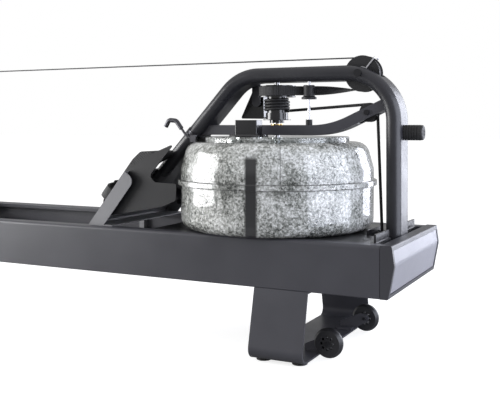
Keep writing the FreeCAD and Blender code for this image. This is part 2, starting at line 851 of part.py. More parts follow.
def base_pulley_bracket():
    """Two cheeks on a foot that hold the pulley inside the base."""
    inside = cord_pulley_width / 2 + 1
    outside = inside + 4
    x0, x1 = base_pulley_x - 12, base_pulley_x + 12
    low, high = cross_top_z, base_pulley_z + 12
    cheek = box(x0, x1, inside, outside, low, high)
    foot = box(x0, x1, -outside, outside, low, low + 3)
    whole = joined([cheek, mirrored(cheek), foot])
    axle = rod(cord_bolt_radius, V(base_pulley_x, -30, base_pulley_z), V(base_pulley_x, 30, base_pulley_z))
    return whole.cut(axle)


def pulley_bolts():
    """The bolts that the three pulleys turn on, heads on the near side."""
    half_tube = tube_width / 2
    top = bolt(V(top_pulley_x, -half_tube, top_pulley_z), V(top_pulley_x, half_tube, top_pulley_z),
               top_bolt_radius, top_bolt_head_radius, top_bolt_head_height)
    half_bar = bar_width / 2
    lower = bolt(V(lower_pulley_x, -half_bar, lower_pulley_z), V(lower_pulley_x, half_bar, lower_pulley_z),
                 cord_bolt_radius, bolt_head_radius, bolt_head_height)
    half_bracket = cord_pulley_width / 2 + 5
    base = bolt(V(base_pulley_x, -half_bracket, base_pulley_z), V(base_pulley_x, half_bracket, base_pulley_z),
                cord_bolt_radius, bolt_head_radius, bolt_head_height)
    return group([top, lower, base])


def strap_retainer():
    """The bent wire over the top pulley's front that keeps the strap in its groove."""
    wire = retainer_wire
    side = top_pulley_width / 2 - 1 + wire + slip
    lean = math.radians(retainer_lean)
    reach = top_pulley_radius + 7
    out = V(math.cos(lean), 0, math.sin(lean)).multiply(reach)
    hub = V(top_pulley_x, 0, top_pulley_z)
    near, far = V(0, -side, 0), V(0, side, 0)
    root = V(out).multiply(0.3)
    points = [hub.add(root).add(near), hub.add(out).add(near), hub.add(out).add(far), hub.add(root).add(far)]
    loop = tube_path(points, [0, 6, 6, 0], wire)
    eyes = []
    for y in (-side - wire, side - wire):
        start = V(top_pulley_x, y, top_pulley_z)
        end = V(top_pulley_x, y + 2 * wire, top_pulley_z)
        eyes.append(rod(reach * 0.3 + wire, start, end))
    whole = joined([loop] + eyes)
    bore = rod(top_bolt_radius, V(top_pulley_x, -60, top_pulley_z), V(top_pulley_x, 60, top_pulley_z))
    slot_half = top_pulley_width / 2 + 2
    room = top_pulley_radius + 20
    keep = box(top_pulley_x - room, top_pulley_x + room, -slot_half, slot_half, 0, 1000)
    return whole.cut(bore).common(keep)


# ---------------------------------------------------------------- strap and elastic cord
def strap_section(centre, across, through):
    """The strap's rectangular section."""
    wide = V(across).multiply(strap_width / 2)
    thick = V(through).multiply(strap_thickness / 2)
    corners = [centre.add(wide).add(thick), centre.add(wide).sub(thick), centre.sub(wide).sub(thick),
               centre.sub(wide).add(thick)]
    return Part.makePolygon(corners + [corners[0]])


def strap_departure():
    """Angle at which the strap leaves the drum for the guide roller."""
    both = drum_strap_radius + guide_strap_radius
    return math.asin(both / math.hypot(guide_x, guide_strap_radius)) - math.atan2(guide_strap_radius, guide_x)


def drive_strap_feed():
    """The strap from the drum, round the guide roller, twisted a quarter turn and round the top pulley."""
    angle = strap_departure()
    leave = V(math.sin(angle), -math.cos(angle), 0).multiply(drum_strap_radius)
    leave.z = strap_mid_z
    corner = V(leave.x - leave.y / math.tan(angle), 0, strap_mid_z)
    straight_end = V(guide_x + 8, 0, strap_mid_z)
    spine = Part.Wire(rounded_edges([leave, corner, straight_end], [0, guide_strap_radius, 0], False))
    first = strap_section(leave, AXIS_Z, V(-math.sin(angle), math.cos(angle), 0))
    run = spine.makePipeShell([first], True, False)
    bottom_z = top_pulley_z - strap_pulley_radius
    twist_end = top_pulley_x - strap_lead
    sections = []
    steps = 12
    for i in range(steps + 1):
        share = i / steps
        turn = math.pi / 2 * share
        centre = V(straight_end.x + (twist_end - straight_end.x) * share, 0,
                   strap_mid_z + (bottom_z - strap_mid_z) * share)
        across = V(0, math.sin(turn), math.cos(turn))
        sections.append(strap_section(centre, across, V(0, math.cos(turn), -math.sin(turn))))
    twist = Part.makeLoft(sections, True, False)
    half = strap_width / 2
    thick = strap_thickness / 2
    lead = box(twist_end, top_pulley_x, -half, half, bottom_z - thick, bottom_z + thick)
    hub = V(top_pulley_x, 0, top_pulley_z)
    around = ring(strap_pulley_radius + strap_thickness / 2, strap_pulley_radius - strap_thickness / 2,
                  hub.add(V(0, -half, 0)), hub.add(V(0, half, 0)))
    around = around.common(box(top_pulley_x, top_pulley_x + 100, -half, half, 500, 900))
    return joined([run, twist, lead, around])


def drive_strap_handle():
    """The strap's straight run from the top pulley back to the handle."""
    half = strap_width / 2
    return box(handle_x + clip_length, top_pulley_x, -half, half, handle_z - strap_thickness / 2,
               handle_z + strap_thickness / 2)


def meeting(point_a, along_a, point_b, along_b):
    """Where two lines in the XZ plane meet."""
    gap_x, gap_z = point_b[0] - point_a[0], point_b[1] - point_a[1]
    cross = along_a[0] * along_b[1] - along_a[1] * along_b[0]
    run = (gap_x * along_b[1] - gap_z * along_b[0]) / cross
    return point_a[0] + along_a[0] * run, point_a[1] + along_a[1] * run


def cord_corners():
    """The elastic cord's route: spool, lower pulley, base pulley, anchor."""
    drop = (base_pulley_x - lower_pulley_x, base_pulley_z - lower_pulley_z)
    size = math.hypot(*drop)
    out = (-drop[1] / size * cord_pitch_radius, drop[0] / size * cord_pitch_radius)
    front = (lower_pulley_x + out[0], lower_pulley_z + out[1])
    crown_z = lower_pulley_z + cord_pitch_radius
    lift = (crown_z - wrap_low_z) / lower_pulley_x
    crown = (lower_pulley_x - cord_pitch_radius * lift, crown_z)
    upper = meeting(crown, (1, lift), front, drop)
    run_z = base_pulley_z - cord_pitch_radius
    lower = meeting((0, run_z), (1, 0), front, drop)
    corner = V(upper[0], 0, upper[1])
    tangent = V(0, wrap_radius + slip, wrap_low_z)
    start = tangent.add(corner.sub(tangent).normalize().multiply(2 * cord_radius))
    return [start, corner, V(lower[0], 0, lower[1]), V(cord_anchor_x - 6, 0, run_z)]


def bungee_cord():
    """The elastic cord from the spool over both pulleys to its knot behind the anchor tab."""
    corners = cord_corners()
    cord = tube_path(corners, [0, cord_pitch_radius, cord_pitch_radius, 0], cord_radius)
    end = corners[-1]
    knot = rod(knot_radius, end, end.add(V(-12, 0, 0)))
    last_turn = Part.makeTorus(wrap_radius, cord_radius + slip, V(0, 0, wrap_low_z))
    turn_above = last_turn.translated(V(0, 0, wrap_pitch))
    return joined([cord, knot]).cut([last_turn, turn_above])


# ---------------------------------------------------------------- tank
def tank_lower_shell():
    """The tank's lower bowl with its seam flange."""
    wall = tank_wall
    low, wide = tank_bottom_z, tank_radius
    foot = tank_foot_radius + tank_corner
    outline = [(0, low), (foot, low), (wide, seam_z - seam_half), (seam_radius, seam_z - seam_half),
               (seam_radius, seam_z), (wide - wall, seam_z), (foot - wall, low + wall), (0, low + wall)]
    radii = [0, tank_corner, 2, 1.5, 0, 0, tank_corner - wall, 0]
    return turned(outline, ORIGIN, AXIS_Z, radii)


def tank_upper_shell():
    """The tank's upper dome with its seam flange, open for the lid."""
    wall = tank_wall
    wide = tank_radius
    high = lid_bottom_z
    mouth = lid_radius - 22
    outline = [(mouth, high - wall), (wide - wall - 30, high - wall), (wide - wall, shoulder_z + 2),
               (wide - wall, seam_z), (seam_radius, seam_z), (seam_radius, seam_z + seam_half),
               (wide, seam_z + seam_half), (wide, shoulder_z), (wide - 20, high), (mouth, high)]
    radii = [0, 34, 50, 0, 0, 1.5, 2, 54, 38, 0]
    return turned(outline, ORIGIN, AXIS_Z, radii)


def tank_lid():
    """The round lid with the filler hole and the shaft hole."""
    low, high, wide = lid_bottom_z, lid_top_z, lid_radius
    outline = [(shaft_radius + 8, high - 5), (shaft_radius + 8, high), (wide, high), (wide, low), (wide - 5, low),
               (wide - 5, high - 5)]
    lid = turned(outline, ORIGIN, AXIS_Z, [0, 0, 4, 0, 0, 2])
    neck = plug_neck_radius + slip
    hole = rod(neck, V(plug_x, plug_y, low - 5), V(plug_x, plug_y, high + 5))
    return lid.cut(hole)


def water():
    """The water in the tank, clear of the impeller's sweep."""
    gap = slip
    low = tank_bottom_z + tank_wall + gap
    foot = tank_foot_radius + tank_corner - tank_wall - gap
    wide = tank_radius - tank_wall - gap
    sweep = blade_radius + 4
    floor = blade_bottom_z - 3
    roof = blade_bottom_z + blade_height + 3
    neck = shaft_radius + 3
    outline = [(neck, low), (foot, low), (wide, water_z), (neck, water_z), (neck, roof), (sweep, roof),
               (sweep, floor), (neck, floor)]
    radii = [0, tank_corner - tank_wall, 0, 0, 0, 0, 0, 0]
    return turned(outline, ORIGIN, AXIS_Z, radii)


def fill_plug():
    """The filler plug: a neck, a round flange and a bar to grip."""
    neck = rod(plug_neck_radius, V(plug_x, plug_y, lid_top_z - 12), V(plug_x, plug_y, lid_top_z + slip))
    low = lid_top_z + slip
    disc = turned([(0, 0), (plug_disc_radius, 0), (plug_disc_radius - 3, 6), (0, 6)], V(plug_x, plug_y, low),
                  AXIS_Z, [0, 1, 2, 0])
    half_l, half_w = plug_grip_length / 2, plug_grip_width / 2
    plan = [(plug_x - half_l, plug_y - half_w), (plug_x + half_l, plug_y - half_w),
            (plug_x + half_l, plug_y + half_w), (plug_x - half_l, plug_y + half_w)]
    grip = profile("xy", plan, 3, low + 6, plug_grip_top_z)
    return joined([neck, disc, grip])


# ---------------------------------------------------------------- footrest
def footboard():
    """The bent sheet under both feet: sloping face, side flanges and a foot on the rails."""
    half, length, plate = board_half_width, board_length, board_plate
    face = box(0, length, -half, half, -plate, 0)
    outline = [(-board_foot, 0), (length, 0), (length, -board_flange), (-board_foot, -board_flange)]
    flange = profile("xz", outline, [0, 6, 20, 0], half - plate, half)
    sheet = board_frame(joined([face, flange, mirrored(flange)]))
    low = rail_top_z
    foot = box(board_x, board_x + board_foot, -half, half, low, low + plate)
    web = box(board_x, board_x + plate, -half, half, low, board_z + 1)
    whole = joined([sheet, foot, web])
    return whole.cut(box(-1000, 1000, -500, 500, low - 150, low))


def side_plate_far():
    """The far side plate: it ties the footboard to the arch's foot tube."""
    outline = [(-438, 331), (-262, 364), (-218, 382), (-216, 428), (-286, 429), (-302, 448), (-224, 536),
               (-297, 507), (-383, 460)]
    plate = profile("xz", outline, [6, 30, 10, 8, 14, 12, 3, 150, 4], side_plate_y, side_plate_y + side_plate)
    return plate.cut(board_frame(box(-200, 600, -250, 250, -board_plate, 200)))


def footplate_outline():
    """Side outline of a footplate along the board."""
    low, flat = slip, footplate_height
    return [(8, low), (200, low), (262, -28), (268, -14), (246, 13), (212, flat), (12, flat)]


def footplate_far():
    """The far plastic footplate."""
    y0, y1 = foot_y - foot_width / 2, foot_y + foot_width / 2
    plate = profile("xz", footplate_outline(), [2, 30, 4, 6, 20, 24, 4], y0, y1)
    return board_frame(plate)


def heel_cup_far():
    """The far heel cup: a base that slides on the footplate and a curved wall."""
    low = footplate_height + slip
    half = foot_width / 2 - 12
    y0, y1 = foot_y - half, foot_y + half
    heel, toe = heel_from, heel_from + heel_length
    wall = heel_wall
    bend = half - wall
    outer = profile("xy", [(heel, y0), (toe, y0), (toe, y1), (heel, y1)], [bend, 4, 4, bend], low,
                    low + heel_height)
    inner_plan = [(heel + wall, y0 + wall), (toe + 5, y0 + wall), (toe + 5, y1 - wall),
                  (heel + wall, y1 - wall)]
    inner = profile("xy", inner_plan, [bend - wall, 0, 0, bend - wall], low + wall, low + heel_height + 1)
    return board_frame(outer.cut(inner))


def foot_strap_far():
    """The far foot strap, a flat band arched over the footplate."""
    half = foot_width / 2 + slip
    thick = foot_strap_thickness
    crown = foot_strap_crown
    low, shoulder = foot_strap_low, crown - 6
    outer = [(-half - thick, low), (-half - thick, shoulder), (0, crown), (half + thick, shoulder),
             (half + thick, low)]
    inner = [(half, low), (half, shoulder - thick), (0, crown - thick), (-half, shoulder - thick), (-half, low)]
    points = [(y + foot_y, v) for y, v in outer + inner]
    radii = [0, 10, 90, 10, 0, 0, 8, 88, 8, 0]
    return board_frame(profile("yz", points, radii, foot_strap_from, foot_strap_from + foot_strap_width))


# ---------------------------------------------------------------- seat
def seat_carriage():
    """The folded plate under the seat that carries the roller axles."""
    top = rail_top_z + 3
    x0, x1 = seat_x - carriage_half, seat_x + carriage_half
    plate = carriage_plate
    deck = box(x0, x1, -carriage_y, carriage_y, top, top + plate)
    cheek_outline = [(x0, top + plate), (x1, top + plate), (x1, roller_z - 6), (x1 - 24, roller_z - 14),
                     (x0 + 24, roller_z - 14), (x0, roller_z - 6)]
    cheek = profile("xz", cheek_outline, [0, 0, 6, 8, 8, 6], carriage_y - plate, carriage_y)
    whole = joined([deck, cheek, mirrored(cheek)])
    for x in (seat_x - roller_spread, seat_x + roller_spread):
        whole = whole.cut(rod(axle_radius, V(x, -carriage_y - 1, roller_z), V(x, carriage_y + 1, roller_z)))
    return whole


def seat_axles():
    """The two through axles of the seat's rollers."""
    end = rail_inner_y + roller_width + 3
    places = (seat_x - roller_spread, seat_x + roller_spread)
    return group([rod(axle_radius, V(x, -end, roller_z), V(x, end, roller_z)) for x in places])


def seat_rollers(x):
    """The near and far rollers on one axle."""
    y0 = rail_inner_y + 1
    y1 = y0 + roller_width
    bore = axle_radius + running
    outline = [(bore, y0), (roller_radius - 2, y0), (roller_radius, y0 + 3), (roller_radius, y1 - 3),
               (roller_radius - 2, y1), (bore, y1)]
    return group(both_sides(turned(outline, V(x, 0, roller_z), AXIS_Y)))


def seat_pad():
    """The seat cushion as a plain closed solid."""
    low = rail_top_z + 3 + carriage_plate
    half_l, half_w = seat_length / 2, seat_width / 2
    front = half_w - seat_taper
    plan = [(seat_x - half_l, -half_w), (seat_x + half_l, -front), (seat_x + half_l, front),
            (seat_x - half_l, half_w)]
    return profile("xy", plan, [60, 50, 50, 60], low, low + seat_thickness)


def seat_stops():
    """Rubber stops in the tracks at both ends of the seat's travel."""
    low = track_floor_z
    y0, y1 = rail_inner_y + 1, track_back_y - 1
    front = seat_x + roller_spread + roller_radius + seat_front_travel + slip
    rear = seat_x - roller_spread - roller_radius - seat_rear_travel - slip
    blocks = []
    for x0, x1 in ((front, front + stop_length), (rear - stop_length, rear)):
        blocks += both_sides(box(x0, x1, y0, y1, low, low + stop_height))
    return group(blocks)


# ---------------------------------------------------------------- handle
def handle_points():
    """The handle bar's centre line."""
    back = handle_x - (handle_half - handle_straight) * math.tan(math.radians(handle_sweep))
    return [V(back, -handle_half, handle_z), V(handle_x, -handle_straight, handle_z),
            V(handle_x, handle_straight, handle_z), V(back, handle_half, handle_z)]


def handle_bar():
    """The bent handle tube."""
    return tube_path(handle_points(), [0, handle_bend, handle_bend, 0], handle_bar_radius)


def handle_grip(side):
    """A foam grip over one end of the handle bar, closed at its end."""
    points = handle_points()
    end, bend = (points[0], points[1]) if side < 0 else (points[3], points[2])
    inward = bend.sub(end).normalize()
    cap = end.sub(V(inward).multiply(5))
    start = end.add(V(inward).multiply(grip_length))
    return rod(grip_radius, cap, start).cut(rod(handle_bar_radius, end, start.add(V(inward).multiply(5))))


def strap_clip():
    """The clamp that joins the strap to the handle bar."""
    z = handle_z
    half = strap_width / 2 + 3
    outline = [(handle_x - 16, z - 16), (handle_x + 10, z - 16), (handle_x + clip_length, z - 5),
               (handle_x + clip_length, z + 5), (handle_x + 10, z + 16), (handle_x - 16, z + 16)]
    body = profile("xz", outline, [12, 6, 2, 2, 6, 12], -half, half)
    return body.cut(rod(handle_bar_radius, V(handle_x, -60, z), V(handle_x, 60, z)))


# ---------------------------------------------------------------- bumper, console and hook
def bumper():
    """The ribbed rubber buffer on the upright's front face."""
    ribs = 6
    x0 = upright_front_x
    step = bumper_length / ribs
    outline = [(0, x0)]
    for i in range(ribs):
        outline += [(bumper_radius - 1.5, x0 + i * step), (bumper_radius - 1.5, x0 + i * step + 1.5),
                    (bumper_radius, x0 + i * step + 2), (bumper_radius, x0 + (i + 1) * step)]
    outline += [(0, x0 + bumper_length)]
    return turned(outline, V(0, 0, bumper_z), AXIS_X)


def bumper_end():
    """The buffer's rounded end cap with two slots."""
    x0 = upright_front_x + bumper_length
    x1 = x0 + bumper_cap
    outline = [(0, x0), (bumper_radius - 0.5, x0), (bumper_radius - 0.5, x1), (0, x1)]
    cap = turned(outline, V(0, 0, bumper_z), AXIS_X, [0, 0, 4, 0])
    for y in (-7, 7):
        cap = cap.cut(box(x1 - 3, x1 + 1, y - 2, y + 2, bumper_z - 7, bumper_z + 7))
    return cap


def console_housing():
    """The display housing beside the drum, facing the rower."""
    outline = [(-142, 605), (-67, 605), (-69, 668), (-78, 676), (-104, 684)]
    body = profile("xz", outline, [4, 6, 5, 5, 5], console_y, console_y + console_width)
    pin = rod(console_pin_radius + running, V(console_pin_x, console_y - 1, console_pin_z),
              V(console_pin_x, console_y + 12, console_pin_z))
    return body.cut(pin)


def console_bracket():
    """The plate on the arch's far side and the pin that the console tilts on."""
    y0 = tube_width / 2
    x0, x1 = console_pin_x - console_plate_half, console_pin_x + console_plate_half
    low = console_pin_z - console_plate_half
    plate = profile("xz", [(x0, low), (x1, low), (x1, arch_top_z), (x0, arch_top_z)], [12, 12, 4, 4], y0, y0 + 4)
    pin = rod(console_pin_radius, V(console_pin_x, y0 + 4, console_pin_z),
              V(console_pin_x, console_y + 11, console_pin_z))
    return joined([plate, pin])


def hook_corners():
    """The hook's centre line, from the arch's sloping leg to its tip."""
    pairs = [(-232, 541), (-262, 558), (-294, 599), (-318, 601), (-327, 585)]
    return [V(x, hook_y, z) for x, z in pairs]


def handle_hook():
    """The clamp band round the sloping leg with the bent rod that holds the handle."""
    start = slope_point(hook_band_z)
    along = slope_direction().multiply(hook_band_length)
    wide, thick = tube_width + 2 * skin, tube_thickness + 2 * skin
    outer = flat_oval(start, slope_normal(), wide + 2 * hook_band, thick + 2 * hook_band)
    inner = flat_oval(start, slope_normal(), wide, thick)
    band = outer.extrude(along).cut(inner.extrude(along))
    bar_hole = bar_solid(bar_width + 2 * skin, bar_height + 2 * skin)
    rod_part = tube_path(hook_corners(), [0, 12, 14, 10, 0], hook_rod_radius)
    boss = box(-246, -228, hook_y - 4, hook_y + 6, 538, 558)
    boss = boss.cut(inner.extrude(V(along).multiply(3)).translated(V(along).multiply(-1)))
    return joined([band, boss, rod_part]).cut(bar_hole)


def hook_sleeve():
    """The rubber sleeve over the hook's rod."""
    corners = hook_corners()
    start = corners[1].add(corners[2].sub(corners[1]).multiply(hook_bare_share))
    route = [start] + corners[2:]
    tip = corners[4].sub(corners[3]).normalize()
    longer = route[:-1] + [corners[4].add(V(tip).multiply(4))]
    outer = tube_path(longer, [0, 14, 10, 0], hook_sleeve_radius)
    return outer.cut(tube_path(route, [0, 14, 10, 0], hook_rod_radius))


def main():
    """Write every node."""
    os.makedirs("parts", exist_ok=True)
    write("rail_near", mirrored(rail()))
    write("rail_far", rail())
    write("front_end_cap", end_cap())
    write("rear_end_cap", to_rear(end_cap()))
    write("end_cap_panels", group([cap_panel(), to_rear(cap_panel())]))
    write("cross_members", cross_members())
    write("tank_tray", tank_tray())
    write("front_leg", leg())
    write("rear_leg", leg().translated(V(rear_leg_shift, 0, 0)))
    write("leg_pads", leg_pads())
    write("leg_bolts", frame_bolts())
    write("wheel_arms", group(both_sides(wheel_arm())))
    write("wheel_bolts", group(both_sides(wheel_bolt())))
    write("transport_wheel_far", transport_wheel())
    write("transport_wheel_near", mirrored(transport_wheel()))
    write("arch_frame", arch_frame())
    write("lower_bar", lower_bar())
    write("shaft_bush", shaft_bush())
    write("guide_rod", guide_rod())
    write("guide_collar", guide_collar())
    write("guide_roller", guide_roller())
    write("strap_drum", strap_drum())
    write("drum_strap_wraps", drum_strap_wraps())
    write("bungee_spool", bungee_spool())
    write("bungee_wraps", bungee_wraps())
    write("impeller_shaft", impeller_shaft())
    write("impeller", impeller())
    write("top_pulley", top_pulley())
    write("lower_pulley", cord_pulley(lower_pulley_x, lower_pulley_z))
    write("base_pulley", cord_pulley(base_pulley_x, base_pulley_z))
    write("base_pulley_bracket", base_pulley_bracket())
    write("pulley_bolts", pulley_bolts())
    write("strap_retainer", strap_retainer())
    write("drive_strap_feed", drive_strap_feed())
    write("drive_strap_handle", drive_strap_handle())
    write("bungee_cord", bungee_cord())
    write("tank_lower_shell", tank_lower_shell())
    write("tank_upper_shell", tank_upper_shell())
    write("tank_lid", tank_lid())
    write("water", water())
    write("fill_plug", fill_plug())
    write("footboard", footboard())
    write("foot_side_plates", group(both_sides(side_plate_far())))
    write("footplates", group(both_sides(footplate_far())))
    write("heel_cup_far", heel_cup_far())
    write("heel_cup_near", mirrored(heel_cup_far()))
    write("foot_straps", group(both_sides(foot_strap_far())))
    write("seat_pad", seat_pad())
    write("seat_carriage", seat_carriage())
    write("seat_axles", seat_axles())
    write("seat_rollers_front", seat_rollers(seat_x + roller_spread))
    write("seat_rollers_rear", seat_rollers(seat_x - roller_spread))
    write("seat_stops", seat_stops())
    write("handle_bar", handle_bar())
    write("handle_grips", group([handle_grip(-1), handle_grip(1)]))
    write("strap_clip", strap_clip())
    write("bumper", group([bumper(), bumper_end()]))
    write("console_housing", console_housing())
    write("console_bracket", console_bracket())
    write("handle_hook", group([handle_hook(), hook_sleeve()]))


main()
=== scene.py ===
import math
import random

import bpy
from bpy.props import FloatProperty, FloatVectorProperty, IntProperty, PointerProperty
from mathutils import Matrix, Vector


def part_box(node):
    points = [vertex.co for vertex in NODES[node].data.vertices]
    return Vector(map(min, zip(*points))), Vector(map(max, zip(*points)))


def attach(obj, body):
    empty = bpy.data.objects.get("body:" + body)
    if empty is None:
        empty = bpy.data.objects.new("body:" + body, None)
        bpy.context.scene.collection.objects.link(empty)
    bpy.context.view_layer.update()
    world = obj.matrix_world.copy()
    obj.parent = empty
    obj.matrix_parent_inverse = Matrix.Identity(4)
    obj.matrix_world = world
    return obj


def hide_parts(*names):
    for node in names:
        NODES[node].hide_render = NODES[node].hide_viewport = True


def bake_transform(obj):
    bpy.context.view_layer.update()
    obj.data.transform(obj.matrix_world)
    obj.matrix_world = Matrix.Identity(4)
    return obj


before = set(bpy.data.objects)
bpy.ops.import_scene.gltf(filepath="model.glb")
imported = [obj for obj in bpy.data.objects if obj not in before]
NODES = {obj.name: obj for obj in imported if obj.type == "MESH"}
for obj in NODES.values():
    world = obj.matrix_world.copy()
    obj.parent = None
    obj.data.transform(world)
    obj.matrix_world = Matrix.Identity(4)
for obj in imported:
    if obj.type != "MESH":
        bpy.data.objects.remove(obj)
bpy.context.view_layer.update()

bl_info = {
    "name": "Water Rowing Machine",
    "version": (1, 0, 0),
    "blender": (4, 5, 0),
    "location": "3D View > Sidebar > Rower",
    "description": "Finishes and soft pieces for a water rowing machine",
    "category": "Add Mesh",
}

# ---- the foot board: where it starts and how it leans
BOARD_START = Vector((0.168, 0.0, 0.313))
BOARD_LEAN = math.radians(51.3)
FOOT_Y = 0.105
STRAP_UP = 0.082

# ---- a foot strap, off the board's face: its arch's half width, foot and crown, and the route of its tail
FOOT_STRAP_WIDTH = 0.038
FOOT_STRAP_THICK = 0.002
TAIL_WIDTH = 0.036
TAIL_THICK = 0.0018
BUCKLE_SIZE = (0.046, 0.030, 0.005)
BUCKLE_HEIGHT = 0.0485
ARCH_HALF = 0.0573
ARCH_FOOT = 0.006
ARCH_CROWN = 0.0388
TAIL_ROUTE = ((0.012, 0.0472), (0.030, 0.0466), (0.047, 0.0440), (0.0575, 0.0370), (0.0610, 0.0270),
              (0.0612, 0.0150))

# ---- the tank's axis, and marks on its wall along and off a line turned from X: a dark band and seam lines of painted shade, and a mould line
TANK_AXIS = Vector((0.657, 0.0, 0.0))
TANK_TURN = math.radians(24.3)
SHADE_BAND_PLACE = -0.065
SHADE_BAND_HALF = 0.0147
SHADE_BAND_TOP = 0.512
SHADE_BAND_FADE = 0.012
MOULD_PLACE = 0.008
SEAM_LOW = 0.424
SEAM_TOP = 0.438
SEAM_HALF = 0.0013
MOULD_HALF = 0.0012
# colour of the painted shade band and seam lines, and of the mould line
SHADE_AND_MOULD_TONE = (0.010, 0.010, 0.012, 1)
LINE_SHARE = 0.62

# ---- the water's body inside the shell
WATER_GAP = 0.001
WATER_FOOT = 0.86
WATER_RINGS = 26
WAVES = ((1.0, 5, 60, 0.0), (0.6, 11, -95, 1.3))
BUBBLE_RADIUS = 0.0022

# ---- the strap and the cord
STRAP_TOP = 0.765
STRAP_THICK = 0.0018
CORD_RADIUS = 0.004
CORD_PITCH = 0.0082
CORD_TURNS = 4
CORD_BED = 0.0008

# ---- the console's face
CONSOLE_LEAN = math.radians(25.7)
CONSOLE_INSET = 0.0165
CONSOLE_HEIGHT = 0.6475
SCREEN_SIZE = (0.044, 0.090, 0.003)
SCREEN_PLACE = (0.006, 0, 0)
KEY_SIZE = (0.007, 0.020, 0.003)
KEY_DROP = -0.024
KEY_RISE = 0.0005
KEY_SPACING = 0.028

# ---- the seat's shape, on its half length and half width as 1
SEAT_NARROWS = 0.13
CORNER_FROM = 1.35
CORNER_CUT = 0.22
HOLLOW_DEPTH = 0.011
HOLLOW_BACK = -0.15
HOLLOW_ASIDE = 0.42
CHANNEL_DEPTH = 0.009
CLOTH_FRAMES = 20

# ---- the pitch of a wave texture whose scale is 1
WAVE_PITCH = 2 * math.pi / 20

# ---- the camera
CAMERA_PLACE = (1.5801, -2.0434, 0.588)
CAMERA_TURN = math.radians(26.23)
CAMERA_LENS = 57.96
CAMERA_SENSOR = 36.0
CAMERA_SHIFT = -0.151


# ---------------------------------------------------------------- settings
class RowerFinishes(bpy.types.PropertyGroup):
    """Colours of the painted and moulded pieces."""

    frame_paint: FloatVectorProperty(
        name="Frame paint", description="Anthracite powder coat of rails, arch and legs",
        subtype="COLOR", size=3, min=0, max=1, default=(0.050, 0.050, 0.060))
    # the arch's colour is the frame's coat darkened as painted shade
    arch_paint_shaded: FloatVectorProperty(
        name="Arch paint", description="Darker, smoother coat of the arch",
        subtype="COLOR", size=3, min=0, max=1, default=(0.024, 0.024, 0.029))
    board_paint: FloatVectorProperty(
        name="Foot board paint", description="Grey powder coat of the foot board",
        subtype="COLOR", size=3, min=0, max=1, default=(0.20, 0.20, 0.212))
    black_plastic: FloatVectorProperty(
        name="Black plastic", description="Moulded caps, pulleys and footplates",
        subtype="COLOR", size=3, min=0, max=1, default=(0.010, 0.010, 0.012))
    cap_panel: FloatVectorProperty(
        name="Cap panel", description="Pale panel set into each end cap",
        subtype="COLOR", size=3, min=0, max=1, default=(0.22, 0.22, 0.25))
    webbing: FloatVectorProperty(
        name="Webbing", description="Woven drive strap and foot straps",
        subtype="COLOR", size=3, min=0, max=1, default=(0.020, 0.020, 0.023))


class RowerTank(bpy.types.PropertyGroup):
    """The water and the drops on the tank's wall."""

    wave_height: FloatProperty(
        name="Wave height", description="How far the water's surface rises and falls",
        subtype="DISTANCE", unit="LENGTH", min=0.0, max=0.03, default=0.010)
    drop_cover: FloatProperty(
        name="Drop cover", description="Share of the wall that is misted with drops",
        subtype="FACTOR", min=0.0, max=1.0, default=0.55)
    bubble_count: IntProperty(
        name="Bubbles", description="Bubbles in the water near the wall", min=0, max=900, default=420)


class RowerSeat(bpy.types.PropertyGroup):
    """The seat cushion."""

    pressure: FloatProperty(
        name="Stuffing pressure", description="Pressure that swells the cushion", min=0.0, max=12.0, default=4.0)
    largest_swell: FloatProperty(
        name="Largest swell", description="Most that any point may move as the cushion swells",
        subtype="DISTANCE", unit="LENGTH", min=0.0, max=0.02, default=0.007)
    cover: FloatVectorProperty(
        name="Cover", description="Colour of the seat's cover",
        subtype="COLOR", size=3, min=0, max=1, default=(0.022, 0.022, 0.024))


class RowerStage(bpy.types.PropertyGroup):
    """Floor and lights."""

    side_light: FloatProperty(
        name="Side light", description="Soft box at the front end", subtype="POWER", unit="POWER",
        min=0.0, default=36.0)
    rim_light: FloatProperty(
        name="Rim light", description="Soft box behind the front end", subtype="POWER", unit="POWER",
        min=0.0, default=32.0)
    strip_light: FloatProperty(
        name="Strip light", description="Narrow soft box at the rower's side", subtype="POWER", unit="POWER",
        min=0.0, default=62.0)
    fill_light: FloatProperty(
        name="Fill light", description="Strength of the soft light all round", min=0.0, default=0.55)
    floor_colour: FloatVectorProperty(
        name="Floor", description="Colour of the floor",
        subtype="COLOR", size=3, min=0, max=1, default=(0.42, 0.42, 0.42))
    floor_glow: FloatProperty(
        name="Floor glow", description="Light that the floor adds to its own look", min=0.0, default=0.80)


# ---------------------------------------------------------------- modelling
def nothing_selected():
    """Object mode with nothing selected."""
    if bpy.context.object and bpy.context.object.mode != "OBJECT":
        bpy.ops.object.mode_set(mode="OBJECT")
    bpy.ops.object.select_all(action="DESELECT")


def only(piece):
    """Select one piece and make it active."""
    nothing_selected()
    piece.select_set(True)
    bpy.context.view_layer.objects.active = piece


def into_edit(piece, mode="VERT"):
    """Edit mode on one piece with nothing selected in it."""
    only(piece)
    bpy.ops.object.mode_set(mode="EDIT")
    bpy.ops.mesh.select_mode(type=mode)
    bpy.ops.mesh.select_all(action="DESELECT")


def pick_faces(piece, wanted):
    """Select the faces that wanted(centre, normal) is true for, in edit mode."""
    bpy.ops.object.mode_set(mode="OBJECT")
    for face in piece.data.polygons:
        face.select = bool(wanted(face.center, face.normal))
    bpy.ops.object.mode_set(mode="EDIT")


def modify(piece, kind, **settings):
    """Add a modifier, set it and apply it."""
    only(piece)
    added = piece.modifiers.new(kind.title(), kind)
    for key, value in settings.items():
        setattr(added, key, value)
    bpy.ops.object.modifier_apply(modifier=added.name)


